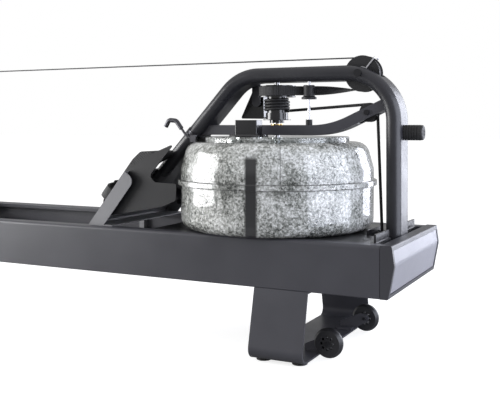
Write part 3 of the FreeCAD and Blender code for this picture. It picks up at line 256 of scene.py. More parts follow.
def settle(piece, angle=35.0):
    """Put the piece's place into its mesh, point its faces outwards and smooth it up to an angle."""
    only(piece)
    bpy.ops.object.transform_apply(location=True, rotation=True, scale=True)
    bpy.ops.object.mode_set(mode="EDIT")
    bpy.ops.mesh.select_all(action="SELECT")
    bpy.ops.mesh.remove_doubles(threshold=1e-6)
    bpy.ops.mesh.normals_make_consistent(inside=False)
    bpy.ops.object.mode_set(mode="OBJECT")
    bpy.ops.object.shade_smooth_by_angle(angle=math.radians(angle))


def hand_over(piece, name, finish, body, slot, *nodes):
    """Name a finished piece, give it its finish and let it ride on its body in place of CAD nodes."""
    piece.name = name
    piece.data.name = name
    piece.data.materials.clear()
    piece.data.materials.append(finish)
    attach(piece, body)
    if nodes:
        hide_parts(*nodes)
    return piece


def block(size, centre):
    """A box primitive of that size at its place, with its scale in its mesh."""
    nothing_selected()
    bpy.ops.mesh.primitive_cube_add(size=1, location=centre)
    piece = bpy.context.object
    piece.scale = size
    bpy.ops.object.transform_apply(location=False, rotation=False, scale=True)
    return piece


def on_board(piece):
    """Move a piece drawn flat (x up the board, z off its face) onto the foot board."""
    settle(piece)
    piece.data.transform(Matrix.Translation(BOARD_START) @ Matrix.Rotation(-BOARD_LEAN, 4, "Y"))
    return piece


def ribbon(points, width, thickness):
    """A flat strap that follows points, with its length and width as its UV map in metres."""
    nothing_selected()
    bpy.ops.mesh.primitive_plane_add(size=0.01, location=points[0])
    piece = bpy.context.object
    width = Vector(width)
    into_edit(piece)
    bpy.ops.mesh.select_all(action="SELECT")
    bpy.ops.mesh.merge(type="CENTER")
    bpy.ops.transform.translate(value=-width / 2)
    bpy.ops.mesh.extrude_vertices_move(TRANSFORM_OT_translate={"value": width})
    bpy.ops.mesh.select_all(action="SELECT")
    for last, point in zip(points, points[1:]):
        step = Vector(point) - Vector(last)
        bpy.ops.mesh.extrude_edges_move(TRANSFORM_OT_translate={"value": step})
    bpy.ops.object.mode_set(mode="OBJECT")
    bpy.ops.object.transform_apply(location=True, rotation=True, scale=True)
    lengths = [0.0]
    for last, point in zip(points, points[1:]):
        lengths.append(lengths[-1] + (Vector(point) - Vector(last)).length)
    across = width.normalized()
    layer = piece.data.uv_layers.active or piece.data.uv_layers.new(name="UVMap")
    for loop in piece.data.loops:
        spot = piece.data.vertices[loop.vertex_index]
        side = (spot.co - Vector(points[0])).dot(across)
        layer.data[loop.index].uv = (lengths[min(spot.index // 2, len(lengths) - 1)], side)
    modify(piece, "SOLIDIFY", thickness=thickness, offset=0.0)
    modify(piece, "BEVEL", width=thickness * 0.3, segments=2, limit_method="ANGLE", angle_limit=math.radians(60))
    return piece


# ---------------------------------------------------------------- finishes
def add_node(finish, kind, **inputs):
    """A shader node with its sockets and settings filled in; a _ stands for a space in a socket's name."""
    fresh = finish.node_tree.nodes.new("ShaderNode" + kind)
    for key, value in inputs.items():
        socket = fresh.inputs.get(key.replace("_", " "))
        if socket is None:
            setattr(fresh, key, value)
        elif isinstance(value, bpy.types.NodeSocket):
            finish.node_tree.links.new(value, socket)
        else:
            socket.default_value = value
    return fresh


def wire(finish, source, shader, inlet):
    """Join a socket to a shader's inlet."""
    finish.node_tree.links.new(source, shader.inputs[inlet])


def tinted(colour, factor):
    """A colour made lighter or darker, with full alpha."""
    return tuple(min(1.0, c * factor) for c in colour[:3]) + (1.0,)


def ramp(finish, source, *stops):
    """Colours along a 0 to 1 value."""
    fresh = add_node(finish, "ValToRGB", Fac=source)
    elements = fresh.color_ramp.elements
    elements[0].position, elements[0].color = stops[0]
    elements[1].position, elements[1].color = stops[-1]
    for position, colour in stops[1:-1]:
        elements.new(position).color = colour
    return fresh.outputs["Color"]


def spread(finish, source, low, high, start=0.3, end=0.7):
    """A value that runs from start to end, spread between low and high."""
    return add_node(finish, "MapRange", Value=source, From_Min=start, From_Max=end, To_Min=low,
                    To_Max=high).outputs["Result"]


def maths(finish, operation, first, second=0.0):
    """Two values put through one maths step; either may be a socket or a number."""
    fresh = add_node(finish, "Math", operation=operation)
    for inlet, value in zip(fresh.inputs, (first, second)):
        if isinstance(value, bpy.types.NodeSocket):
            finish.node_tree.links.new(value, inlet)
        else:
            inlet.default_value = value
    return fresh.outputs[0]


def reach_along(finish, place, direction):
    """How far a place lies along a direction."""
    along = add_node(finish, "VectorMath", operation="DOT_PRODUCT")
    finish.node_tree.links.new(place, along.inputs[0])
    along.inputs[1].default_value = direction
    return along.outputs["Value"]


def mix_shaders(finish, share, first, second):
    """Two shaders mixed, with the share of the second."""
    fresh = add_node(finish, "MixShader")
    for inlet, source in zip(fresh.inputs, (share, first, second)):
        finish.node_tree.links.new(source, inlet)
    return fresh.outputs[0]


def new_finish(name):
    """A new material and its main shader."""
    finish = bpy.data.materials.new(name)
    finish.use_nodes = True
    return finish, finish.node_tree.nodes["Principled BSDF"]


def surface(name, colour, rough, metal=0.0, drift=0.12, drift_size=0.10, grain=0.3, grain_size=0.0012,
            rough_drift=0.06, stretch=(1, 1, 1)):
    """Paint, plastic or metal: slow changes of tone and gloss over a fine raised grain."""
    finish, shader = new_finish(name)
    finish.diffuse_color = tinted(colour, 1)
    shader.inputs["Metallic"].default_value = metal
    place = add_node(finish, "TexCoord").outputs["Object"]
    place = add_node(finish, "Mapping", Vector=place, Scale=stretch).outputs["Vector"]
    slow = add_node(finish, "TexNoise", Vector=place, Scale=1 / drift_size, Detail=5.0).outputs["Fac"]
    fine = add_node(finish, "TexNoise", Vector=place, Scale=1 / grain_size, Detail=2.0).outputs["Fac"]
    wire(finish, ramp(finish, slow, (0.3, tinted(colour, 1 - drift)), (0.7, tinted(colour, 1 + drift))),
         shader, "Base Color")
    wire(finish, spread(finish, slow, rough - rough_drift, rough + rough_drift), shader, "Roughness")
    bump = add_node(finish, "Bump", Strength=grain, Distance=grain_size * 0.3, Height=fine)
    wire(finish, bump.outputs["Normal"], shader, "Normal")
    return finish


def glossy(finish, coat, coat_rough=0.05):
    """Lay a clear gloss over a finish."""
    shader = finish.node_tree.nodes["Principled BSDF"]
    shader.inputs["Coat Weight"].default_value = coat
    shader.inputs["Coat Roughness"].default_value = coat_rough
    return finish


def ribbed(finish, pitch=0.0060, start=0.196):
    """Raised ribs across the toe end of the footplates, from start metres up the foot board."""
    up_board = Vector((math.cos(BOARD_LEAN), 0, math.sin(BOARD_LEAN)))
    place = add_node(finish, "TexCoord").outputs["Object"]
    from_start = maths(finish, "SUBTRACT", reach_along(finish, place, up_board),
                       BOARD_START.dot(up_board) + start)
    rib = maths(finish, "PINGPONG", maths(finish, "DIVIDE", from_start, pitch), 0.5)
    height = maths(finish, "MULTIPLY", rib, maths(finish, "GREATER_THAN", from_start))
    shader = finish.node_tree.nodes["Principled BSDF"]
    grain = shader.inputs["Normal"].links[0].from_socket
    bump = add_node(finish, "Bump", Strength=0.6, Distance=pitch * 0.4, Height=height, Normal=grain)
    wire(finish, bump.outputs["Normal"], shader, "Normal")
    return finish


def woven(name, colour, follows="UV", rib=0.0016):
    """Webbing: ribs across and along the band, with painted shade that darkens the furrows and lightens the rib
    tops, and a soft sheen.
    """
    finish, shader = new_finish(name)
    shader.inputs["Sheen Weight"].default_value = 0.25
    shader.inputs["Sheen Roughness"].default_value = 0.5
    place = add_node(finish, "TexCoord").outputs[follows]
    along = add_node(finish, "TexWave", Vector=place, Scale=WAVE_PITCH / rib, Distortion=0.6,
                     bands_direction="X").outputs["Fac"]
    across = add_node(finish, "TexWave", Vector=place, Scale=WAVE_PITCH / rib / 1.6, Distortion=0.4,
                      bands_direction="Y").outputs["Fac"]
    height = maths(finish, "MULTIPLY", along, across)
    # painted shade: the colour follows the weave's height, dark in the furrows and light on the ribs
    wire(finish, ramp(finish, height, (0.0, tinted(colour, 0.45)), (0.8, tinted(colour, 1.6))),
         shader, "Base Color")
    shader.inputs["Roughness"].default_value = 0.72
    bump = add_node(finish, "Bump", Strength=0.6, Distance=rib * 0.3, Height=height)
    wire(finish, bump.outputs["Normal"], shader, "Normal")
    return finish


def braided(name, colour, strand=0.0022):
    """The woven sleeve of an elastic cord: small crossed strands, with painted shade darkening the gaps between
    them.
    """
    finish, shader = new_finish(name)
    place = add_node(finish, "TexCoord").outputs["Object"]
    cells = add_node(finish, "TexVoronoi", Vector=place, Scale=1 / strand).outputs["Distance"]
    # painted shade: dark in the gaps between strands, light on the strand middles
    wire(finish, ramp(finish, cells, (0.1, tinted(colour, 1.7)), (0.75, tinted(colour, 0.3))),
         shader, "Base Color")
    shader.inputs["Roughness"].default_value = 0.55
    bump = add_node(finish, "Bump", Strength=0.7, Distance=strand * 0.3, Height=cells, invert=True)
    wire(finish, bump.outputs["Normal"], shader, "Normal")
    return finish


def near(finish, value, place, reach):
    """One where value lies within reach of place, zero elsewhere, with a soft edge."""
    away = maths(finish, "ABSOLUTE", maths(finish, "SUBTRACT", value, place))
    return spread(finish, away, 1.0, 0.0, reach * 0.8, reach * 1.2)


def shell_shade_and_mould_line(finish, place):
    """Dark marks on the tank's wall: painted shade as two lines at the seam flange's edges and as a broad
    vertical band where the dark upright shows through, and a mould line.
    """
    across = Vector((math.cos(TANK_TURN), math.sin(TANK_TURN), 0))
    depth = Vector((-math.sin(TANK_TURN), math.cos(TANK_TURN), 0))
    aside, behind = (maths(finish, "SUBTRACT", reach_along(finish, place, direction), direction.dot(TANK_AXIS))
                     for direction in (across, depth))
    height = add_node(finish, "SeparateXYZ", Vector=place).outputs["Z"]
    facing = maths(finish, "LESS_THAN", behind)
    # painted shade: a dark band on the near half where the dark upright shows through the tank
    band = maths(finish, "MULTIPLY", near(finish, aside, SHADE_BAND_PLACE, SHADE_BAND_HALF), facing)
    band = maths(finish, "MULTIPLY", band, spread(finish, height, 1.0, 0.0, SHADE_BAND_TOP - SHADE_BAND_FADE, SHADE_BAND_TOP))
    mould = maths(finish, "MULTIPLY", near(finish, aside, MOULD_PLACE, MOULD_HALF), facing)
    mould = maths(finish, "MULTIPLY", mould, maths(finish, "GREATER_THAN", height, SEAM_TOP))
    # painted shade: thin dark lines at the lower and upper edges of the seam flange
    seam_shade = maths(finish, "MAXIMUM", near(finish, height, SEAM_LOW, SEAM_HALF),
                  near(finish, height, SEAM_TOP, SEAM_HALF))
    lines = maths(finish, "MULTIPLY", maths(finish, "MAXIMUM", mould, seam_shade), LINE_SHARE)
    return maths(finish, "MAXIMUM", band, lines)


def misted_shell(name, cover, marks):
    """Clear plastic misted inside with fine drops, in patches, under a hard gloss."""
    finish, shader = new_finish(name)
    place = add_node(finish, "TexCoord").outputs["Object"]
    patches = add_node(finish, "TexNoise", Vector=place, Scale=9.0, Detail=5.0, Roughness=0.60,
                       Distortion=0.8).outputs["Fac"]
    specks = add_node(finish, "TexNoise", Vector=place, Scale=150.0, Detail=5.0, Roughness=0.78,
                      Distortion=0.5).outputs["Fac"]
    mist = maths(finish, "ADD", specks, maths(finish, "MULTIPLY", patches, 0.55))
    speckle = spread(finish, mist, 0.0, 1.0, 0.58, 0.98)
    tone = ramp(finish, speckle, (0.0, (0.020, 0.022, 0.018, 1)), (0.22, (0.12, 0.125, 0.11, 1)),
                (0.42, (0.48, 0.49, 0.46, 1)), (0.70, (0.74, 0.75, 0.74, 1)), (1.0, (0.90, 0.91, 0.92, 1)))
    opaque = spread(finish, mist, cover - 0.30, cover + 0.40, 0.62, 0.92)
    if marks:
        # painted shade of the band and seam lines, with the mould line, laid over the mist and made opaque
        shade_and_mould = shell_shade_and_mould_line(finish, place)
        tone = add_node(finish, "MixRGB", Fac=shade_and_mould, Color1=tone, Color2=SHADE_AND_MOULD_TONE).outputs["Color"]
        opaque = maths(finish, "MAXIMUM", opaque, shade_and_mould)
    wire(finish, tone, shader, "Base Color")
    shader.inputs["Roughness"].default_value = 0.30
    glossy(finish, 1.0, 0.02)
    clear = add_node(finish, "BsdfTransparent", Color=(0.93, 0.96, 0.96, 1)).outputs[0]
    gloss = add_node(finish, "BsdfGlossy", Color=(1, 1, 1, 1), Roughness=0.02).outputs[0]
    film = mix_shaders(finish, add_node(finish, "Fresnel", IOR=1.45).outputs["Fac"], clear, gloss)
    whole = mix_shaders(finish, opaque, film, shader.outputs[0])
    wire(finish, whole, finish.node_tree.nodes["Material Output"], "Surface")
    return finish


def water_finish(name):
    """Stirred water: part clear, part white with air, in swirls."""
    finish, shader = new_finish(name)
    place = add_node(finish, "TexCoord").outputs["Object"]
    swirl = add_node(finish, "TexNoise", Vector=place, Scale=16.0, Detail=7.0, Roughness=0.7,
                     Distortion=1.6).outputs["Fac"]
    wire(finish, ramp(finish, swirl, (0.30, (0.07, 0.08, 0.08, 1)), (0.48, (0.30, 0.31, 0.31, 1)),
                      (0.66, (0.82, 0.84, 0.84, 1))), shader, "Base Color")
    shader.inputs["Roughness"].default_value = 0.08
    clear = add_node(finish, "BsdfTransparent", Color=(0.80, 0.84, 0.84, 1)).outputs[0]
    whole = mix_shaders(finish, spread(finish, swirl, 0.25, 0.85), clear, shader.outputs[0])
    wire(finish, whole, finish.node_tree.nodes["Material Output"], "Surface")
    bump = add_node(finish, "Bump", Strength=0.5, Distance=0.004, Height=swirl)
    wire(finish, bump.outputs["Normal"], shader, "Normal")
    return finish


def dress(finish, *nodes):
    """Give CAD nodes their finish."""
    for name in nodes:
        NODES[name].data.materials.clear()
        NODES[name].data.materials.append(finish)


# ---------------------------------------------------------------- the pieces
def dress_frame(colours):
    """Finishes of every CAD node that isn't soft or clear."""
    paint = surface("frame_powder_coat", colours.frame_paint, 0.40, drift=0.06, grain=0.35, grain_size=0.0009)
    dress(paint, "rail_near", "rail_far", "cross_members", "front_leg", "rear_leg", "wheel_arms", "lower_bar",
          "base_pulley_bracket", "seat_carriage")
    # painted shade: the arch gets a darker copy of the frame's coat, and a smoother one
    dress(surface("arch_powder_coat_shaded", colours.arch_paint_shaded, 0.33, drift=0.06, grain=0.2, grain_size=0.0009),
          "arch_frame")
    dress(surface("board_powder_coat", colours.board_paint, 0.45, drift=0.06, grain_size=0.0009), "footboard")
    moulded = surface("moulded_black", colours.black_plastic, 0.50, grain=0.5, grain_size=0.0015)
    dress(surface("cap_plastic", tinted(colours.frame_paint, 0.72), 0.42, drift=0.05, grain=0.3),
          "front_end_cap", "rear_end_cap")
    dress(ribbed(surface("footplate_plastic", colours.black_plastic, 0.46, grain=0.4, grain_size=0.0015)),
          "footplates")
    dress(moulded, "foot_side_plates", "heel_cup_far", "heel_cup_near", "guide_collar", "handle_bar",
          "top_pulley", "lower_pulley", "base_pulley", "guide_roller")
    dress(surface("cap_panel_satin", colours.cap_panel, 0.38, drift=0.05), "end_cap_panels")
    gloss = glossy(surface("gloss_black", colours.black_plastic, 0.26, drift=0.10, grain=0.08), 0.55)
    dress(gloss, "strap_drum", "bungee_spool", "fill_plug", "console_housing")
    dress(glossy(surface("tray_black", colours.black_plastic, 0.38, drift=0.15, grain=0.2), 0.2), "tank_tray")
    dress(surface("bright_steel", (0.62, 0.62, 0.64), 0.24, metal=1.0, grain=0.15, stretch=(1, 1, 8)),
          "guide_rod", "impeller_shaft", "seat_axles", "strap_clip")
    dress(surface("black_oxide_steel", (0.055, 0.055, 0.060), 0.32, metal=1.0, grain=0.15), "leg_bolts",
          "wheel_bolts", "pulley_bolts")
    dress(surface("wire_steel", (0.72, 0.72, 0.76), 0.30, metal=1.0, grain=0.1), "strap_retainer")
    dress(surface("dark_steel", (0.10, 0.10, 0.11), 0.35, metal=1.0, grain=0.2),
          "console_bracket", "handle_hook")
    dress(surface("turned_brass", (0.75, 0.54, 0.24), 0.25, metal=1.0, grain=0.2, stretch=(1, 1, 12)),
          "shaft_bush")
    dress(surface("black_rubber", (0.018, 0.018, 0.019), 0.62, drift=0.2, grain=0.6, grain_size=0.002),
          "leg_pads", "bumper")
    dress(surface("grey_rubber", (0.20, 0.20, 0.21), 0.6, grain=0.5), "seat_stops")
    dress(surface("wheel_urethane", (0.016, 0.016, 0.018), 0.36, drift=0.25, grain=0.3),
          "transport_wheel_far", "transport_wheel_near")
    dress(surface("nylon_rollers", (0.60, 0.60, 0.57), 0.40, drift=0.08),
          "seat_rollers_front", "seat_rollers_rear")
    dress(surface("blade_plastic", (0.34, 0.35, 0.36), 0.35, drift=0.10), "impeller")
    dress(surface("grip_foam", (0.020, 0.020, 0.022), 0.85, drift=0.3, grain=1.0, grain_size=0.0025),
          "handle_grips")


def stir_water(low, high, radius, wave_height):
    """The water's body, drawn in at its foot, with waves on its top face."""
    nothing_selected()
    bpy.ops.mesh.primitive_cylinder_add(vertices=160, radius=radius, depth=high.z - low.z,
                                        location=(low + high) / 2)
    water = bpy.context.object
    into_edit(water, "FACE")
    pick_faces(water, lambda centre, normal: normal.z < -0.5)
    bpy.ops.transform.resize(value=(WATER_FOOT, WATER_FOOT, 1))
    pick_faces(water, lambda centre, normal: normal.z > 0.5)
    for _ in range(WATER_RINGS):
        bpy.ops.mesh.inset(thickness=radius / (WATER_RINGS + 1.5), depth=0)
    bpy.ops.object.mode_set(mode="OBJECT")
    top = (high.z - low.z) / 2
    for vertex in water.data.vertices:
        reach = math.hypot(vertex.co.x, vertex.co.y)
        if vertex.co.z > top - 1e-4 and reach < radius - 0.001:
            turn = math.atan2(vertex.co.y, vertex.co.x)
            wave = sum(share * math.sin(lobes * turn + rings * reach + start)
                       for share, lobes, rings, start in WAVES)
            vertex.co.z += wave_height * (0.5 * wave - 1.0)
    settle(water, 80)
    hand_over(water, "water_body", water_finish("stirred_water"), "frame", "water", "water")


def blow_bubbles(low, high, radius, count):
    """Small bubbles in the water, near the wall, joined into one piece."""
    middle = (low + high) / 2
    draws = random.Random(7)
    nothing_selected()
    bpy.ops.mesh.primitive_ico_sphere_add(subdivisions=1, radius=BUBBLE_RADIUS, location=(0, 0, 0))
    first = bpy.context.object
    bubbles = []
    for _ in range(count):
        turn = draws.uniform(0, 2 * math.pi)
        reach = radius * draws.uniform(0.90, 0.985)
        place = Vector((middle.x + reach * math.cos(turn), reach * math.sin(turn),
                        draws.uniform(low.z + 0.03, high.z - 0.004)))
        one = first.copy()
        one.data = first.data.copy()
        one.data.transform(Matrix.Translation(place) @ Matrix.Scale(draws.uniform(0.5, 1.6), 4))
        bpy.context.scene.collection.objects.link(one)
        bubbles.append(one)
    bpy.data.objects.remove(first)
    nothing_selected()
    for one in bubbles:
        one.select_set(True)
    bpy.context.view_layer.objects.active = bubbles[0]
    bpy.ops.object.join()
    hand_over(bubbles[0], "water_bubbles", glossy(surface("air_bubbles", (0.85, 0.87, 0.88), 0.2), 1.0), "frame",
              "water")


def fill_tank(settings):
    """The misted shells, the stirred water and its bubbles."""
    dress(misted_shell("misted_shell", settings.drop_cover, True), "tank_lower_shell", "tank_upper_shell")
    dress(misted_shell("clear_lid", settings.drop_cover - 0.35, False), "tank_lid")
    low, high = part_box("water")
    radius = (high.x - low.x) / 2 - WATER_GAP
    stir_water(low, high, radius, settings.wave_height)
    blow_bubbles(low, high, radius, settings.bubble_count)


def run_drive_strap(band):
    """The strap from the top pulley to the handle, and its sewn end at the handle's clip."""
    low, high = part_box("drive_strap_handle")
    width = high.y - low.y
    steps = 60
    run = [(high.x + (low.x - high.x) * i / steps, 0, STRAP_TOP) for i in range(steps + 1)]
    strap = ribbon(run, (0, width, 0), STRAP_THICK)
    settle(strap)
    strap.name = "drive_strap"
    strap.data.materials.append(band)
    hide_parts("drive_strap_handle")
    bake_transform(strap)
    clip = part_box("strap_clip")[1].x
    loop = [(clip - 0.004, 0, STRAP_TOP - 0.0022), (clip + 0.030, 0, STRAP_TOP - 0.0022),
            (clip + 0.070, 0, STRAP_TOP - 0.0020)]
    sewn = ribbon(loop, (0, width, 0), STRAP_THICK)
    settle(sewn)
    hand_over(sewn, "strap_sewn_end", band, "handle", "webbing")


def strap_foot(side, label, band, buckle_finish):
    """One foot strap arched over the footplate, its loose tail and its buckle."""
    middle = side * FOOT_Y
    steps = 32
    arch = []
    for i in range(steps + 1):
        turn = math.pi * i / steps
        reach, rise = math.cos(turn), math.sin(turn)
        arch.append((STRAP_UP, middle + math.copysign(abs(reach) ** 0.5, reach) * ARCH_HALF,
                     ARCH_FOOT + ARCH_CROWN * rise ** 0.35))
    strap = on_board(ribbon(arch, (FOOT_STRAP_WIDTH, 0, 0), FOOT_STRAP_THICK))
    hand_over(strap, "foot_strap_" + label, band, "frame", "foot_webbing", "foot_straps")
    tail = [(STRAP_UP, side * (FOOT_Y + out), height) for out, height in TAIL_ROUTE]
    loose = on_board(ribbon(tail, (TAIL_WIDTH, 0, 0), TAIL_THICK))
    hand_over(loose, "foot_strap_tail_" + label, band, "frame", "foot_webbing")
    buckle = block(BUCKLE_SIZE, (STRAP_UP, middle, BUCKLE_HEIGHT))
    into_edit(buckle, "FACE")
    pick_faces(buckle, lambda centre, normal: normal.z > 0.5)
    bpy.ops.mesh.inset(thickness=0.004, depth=-0.0025)
    bpy.ops.mesh.inset(thickness=0.005, depth=0.003)
    bpy.ops.object.mode_set(mode="OBJECT")
    modify(buckle, "BEVEL", width=0.0009, segments=3, limit_method="ANGLE")
    hand_over(on_board(buckle), "foot_buckle_" + label, buckle_finish, "frame", "black_plastic")


def run_straps(colours):
    """The drive strap, the strap round the drum, and the foot straps with their buckles."""
    band = woven("strap_webbing", colours.webbing)
    dress(woven("drum_webbing", colours.webbing, follows="Object"), "drive_strap_feed", "drum_strap_wraps")
    run_drive_strap(band)
    foot_band = woven("foot_webbing", colours.webbing)
    buckle_black = surface("buckle_black", colours.black_plastic, 0.35, drift=0.2)
    for side, label in ((1, "far"), (-1, "near")):
        strap_foot(side, label, foot_band, buckle_black)


def wind_cord():
    """The elastic cord and its turns on the spool."""
    sleeve = braided("cord_sleeve", (0.016, 0.016, 0.018))
    dress(sleeve, "bungee_cord")
    low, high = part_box("bungee_wraps")
    reach = (high.x - low.x) / 2 - CORD_RADIUS + CORD_BED
    middle = (low + high) / 2
    nothing_selected()
    start = (middle.x + reach, middle.y, low.z + CORD_RADIUS)
    bpy.ops.mesh.primitive_circle_add(vertices=14, radius=CORD_RADIUS, location=start,
                                      rotation=(math.pi / 2, 0, 0))
    coil = bpy.context.object
    bpy.context.scene.cursor.location = middle
    bpy.ops.object.transform_apply(location=True, rotation=True, scale=True)
    bpy.ops.object.origin_set(type="ORIGIN_CURSOR")
    modify(coil, "SCREW", axis="Z", steps=56, render_steps=56, screw_offset=CORD_PITCH,
           iterations=CORD_TURNS)
    into_edit(coil, "EDGE")
    bpy.ops.mesh.select_non_manifold(extend=False, use_wire=False, use_multi_face=False,
                                     use_non_contiguous=False, use_verts=False)
    bpy.ops.mesh.edge_face_add()
    bpy.ops.object.mode_set(mode="OBJECT")
    settle(coil, 60)
    hand_over(coil, "cord_turns", sleeve, "drum", "elastic", "bungee_wraps")


def bell(value, middle, width):
    """One at the middle, falling off smoothly on both sides."""
    return math.exp(-((value - middle) / width) ** 2)


def shape_seat(pad, half):
    """Draw the cushion in towards its front and corners, and press in its hollows and its channel."""
    for vertex in pad.data.vertices:
        along, across = vertex.co.x / half.x, vertex.co.y / half.y
        narrow = 1 - SEAT_NARROWS * (along + 1) / 2
        vertex.co.y *= narrow
        corner = max(0.0, abs(along) + abs(across) - CORNER_FROM)
        vertex.co.x *= 1 - CORNER_CUT * corner
        vertex.co.y *= 1 - CORNER_CUT * corner
        if vertex.co.z > 0:
            hollow = bell(along, HOLLOW_BACK, 0.42) * bell(abs(across), HOLLOW_ASIDE, 0.26)
            channel = bell(across, 0.0, 0.10) * (0.4 + 0.6 * max(0.0, -along))
            vertex.co.z -= HOLLOW_DEPTH * hollow + CHANNEL_DEPTH * channel


def swell(pad, settings):
    """Let cloth swell the cushion from within, each point by no more than the largest swell."""
    before = [vertex.co.copy() for vertex in pad.data.vertices]
    only(pad)
    cloth = pad.modifiers.new("Cloth", "CLOTH")
    cloth.settings.use_pressure = True
    cloth.settings.uniform_pressure_force = settings.pressure
    cloth.settings.effector_weights.gravity = 0
    for moment in range(1, CLOTH_FRAMES + 1):
        bpy.context.scene.frame_set(moment)
    bpy.ops.object.modifier_apply(modifier=cloth.name)
    bpy.context.scene.frame_set(1)
    for vertex, start in zip(pad.data.vertices, before):
        move = vertex.co - start
        if move.length > settings.largest_swell:
            vertex.co = start + move.normalized() * settings.largest_swell


def stuff_seat(settings):
    """The seat cushion, swollen by cloth, flat underneath."""
    low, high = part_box("seat_pad")
    middle = (low + high) / 2
    size = high - low
    half = size / 2
    shrink = settings.largest_swell
    pad = block((size.x - 2 * shrink, size.y - 2 * shrink, size.z - 1.3 * shrink), (0, 0, 0))
    into_edit(pad, "FACE")
    bpy.ops.mesh.select_all(action="SELECT")
    bpy.ops.mesh.subdivide(number_cuts=9)
    bpy.ops.object.mode_set(mode="OBJECT")
    shape_seat(pad, half)
    modify(pad, "BEVEL", width=0.008, segments=3, limit_method="ANGLE", angle_limit=math.radians(50))
    modify(pad, "REMESH", mode="VOXEL", voxel_size=0.005)
    swell(pad, settings)
    floor = -half.z + 0.0015
    for vertex in pad.data.vertices:
        vertex.co.z = max(vertex.co.z, floor)
        vertex.co += middle
    modify(pad, "SUBSURF", levels=1, render_levels=1)
    settle(pad, 180)
    grain = surface("seat_cover", settings.cover, 0.48, drift=0.18, grain=0.8, grain_size=0.0022)
    hand_over(pad, "seat_cushion", grain, "seat", "upholstery", "seat_pad")


def face_console():
    """The console's screen and keys."""
    low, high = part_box("console_housing")
    middle = Vector((low.x + CONSOLE_INSET, (low.y + high.y) / 2, CONSOLE_HEIGHT))
    facing = Matrix.Translation(middle) @ Matrix.Rotation(CONSOLE_LEAN - math.pi / 2, 4, "Y")
    screen = block(SCREEN_SIZE, SCREEN_PLACE)
    into_edit(screen, "FACE")
    pick_faces(screen, lambda centre, normal: normal.z > 0.5)
    bpy.ops.mesh.inset(thickness=0.003, depth=0)
    bpy.ops.mesh.inset(thickness=0.0008, depth=-0.0012)
    bpy.ops.object.mode_set(mode="OBJECT")
    modify(screen, "BEVEL", width=0.0006, segments=2, limit_method="ANGLE")
    settle(screen)
    screen.data.transform(facing)
    glass = glossy(surface("screen_glass", (0.06, 0.075, 0.07), 0.18, drift=0.05, grain=0.02), 1.0, 0.02)
    hand_over(screen, "console_screen", glass, "console", "black_gloss")
    key_finish = surface("console_keys", (0.16, 0.16, 0.17), 0.45)
    for place, label in ((-KEY_SPACING, "left"), (0.0, "middle"), (KEY_SPACING, "right")):
        key = block(KEY_SIZE, (KEY_DROP, place, KEY_RISE))
        modify(key, "BEVEL", width=0.0012, segments=3, limit_method="ANGLE")
        settle(key)
        key.data.transform(facing)
        hand_over(key, "console_key_" + label, key_finish, "console", "black_plastic")


def soft_box(name, place, target, width, height, power, colour):
    """A rectangular soft light that faces a point and isn't seen itself."""
    lamp = bpy.data.lights.new(name, "AREA")
    lamp.shape = "RECTANGLE"
    lamp.size, lamp.size_y = width, height
    lamp.energy = power
    lamp.color = colour
    light = bpy.data.objects.new(name, lamp)
    bpy.context.scene.collection.objects.link(light)
    light.location = place
    light.rotation_euler = (Vector(target) - Vector(place)).to_track_quat("-Z", "Y").to_euler()
    light.visible_camera = False


def set_stage(settings):
    """Floor, lights, background and camera."""
    nothing_selected()
    bpy.ops.mesh.primitive_plane_add(size=60, location=(0, 0, 0))
    floor = bpy.context.object
    floor.name = "floor"
    matte = surface("floor_matte", settings.floor_colour, 0.9, drift=0.01, drift_size=3.0, grain=0.0)
    glow = maths(matte, "MULTIPLY", add_node(matte, "LightPath").outputs["Is Camera Ray"], settings.floor_glow)
    shader = matte.node_tree.nodes["Principled BSDF"]
    shader.inputs["Emission Color"].default_value = (1, 1, 1, 1)
    wire(matte, glow, shader, "Emission Strength")
    floor.data.materials.append(matte)
    world = bpy.data.worlds.new("studio")
    bpy.context.scene.world = world
    world.use_nodes = True
    backdrop = world.node_tree.nodes["Background"]
    backdrop.inputs["Color"].default_value = (1.0, 1.0, 1.0, 1)
    direction = add_node(world, "TexCoord").outputs["Generated"]
    height = add_node(world, "SeparateXYZ", Vector=direction).outputs["Z"]
    fill = spread(world, height, settings.fill_light * 0.6, settings.fill_light * 1.5, -0.1, 1.0)
    seen = add_node(world, "LightPath").outputs["Is Camera Ray"]
    bright = add_node(world, "MixRGB", Fac=seen, Color1=fill, Color2=(1, 1, 1, 1)).outputs["Color"]
    wire(world, bright, backdrop, "Strength")
    tank = (0.657, 0, 0.42)
    soft_box("side_soft_box", (2.45, -0.15, 0.75), tank, 2.0, 1.5, settings.side_light, (0.83, 0.87, 1.0))
    soft_box("rim_soft_box", (1.95, 1.95, 0.80), (1.0, 0, 0.3), 1.2, 1.5, settings.rim_light, (0.86, 0.89, 1.0))
    soft_box("strip_soft_box", (-1.66, -0.94, 0.75), tank, 1.7, 1.3, settings.strip_light, (1.0, 1.0, 1.0))
    camera_data = bpy.data.cameras.new("camera")
    camera_data.lens = CAMERA_LENS
    camera_data.sensor_width = CAMERA_SENSOR
    camera_data.shift_y = CAMERA_SHIFT
    camera = bpy.data.objects.new("camera", camera_data)
    bpy.context.scene.collection.objects.link(camera)
    camera.location = CAMERA_PLACE
    camera.rotation_euler = (math.pi / 2, 0, CAMERA_TURN)
    bpy.context.scene.camera = camera
    bpy.context.scene.view_settings.view_transform = "Standard"


# ---------------------------------------------------------------- operators
class ROWER_OT_frame(bpy.types.Operator):
    """Give the frame, fittings and moving parts their finishes"""
    bl_idname = "rower.frame"
    bl_label = "Dress Frame"

    def execute(self, context):
        dress_frame(context.scene.rower_finishes)
        return {"FINISHED"}


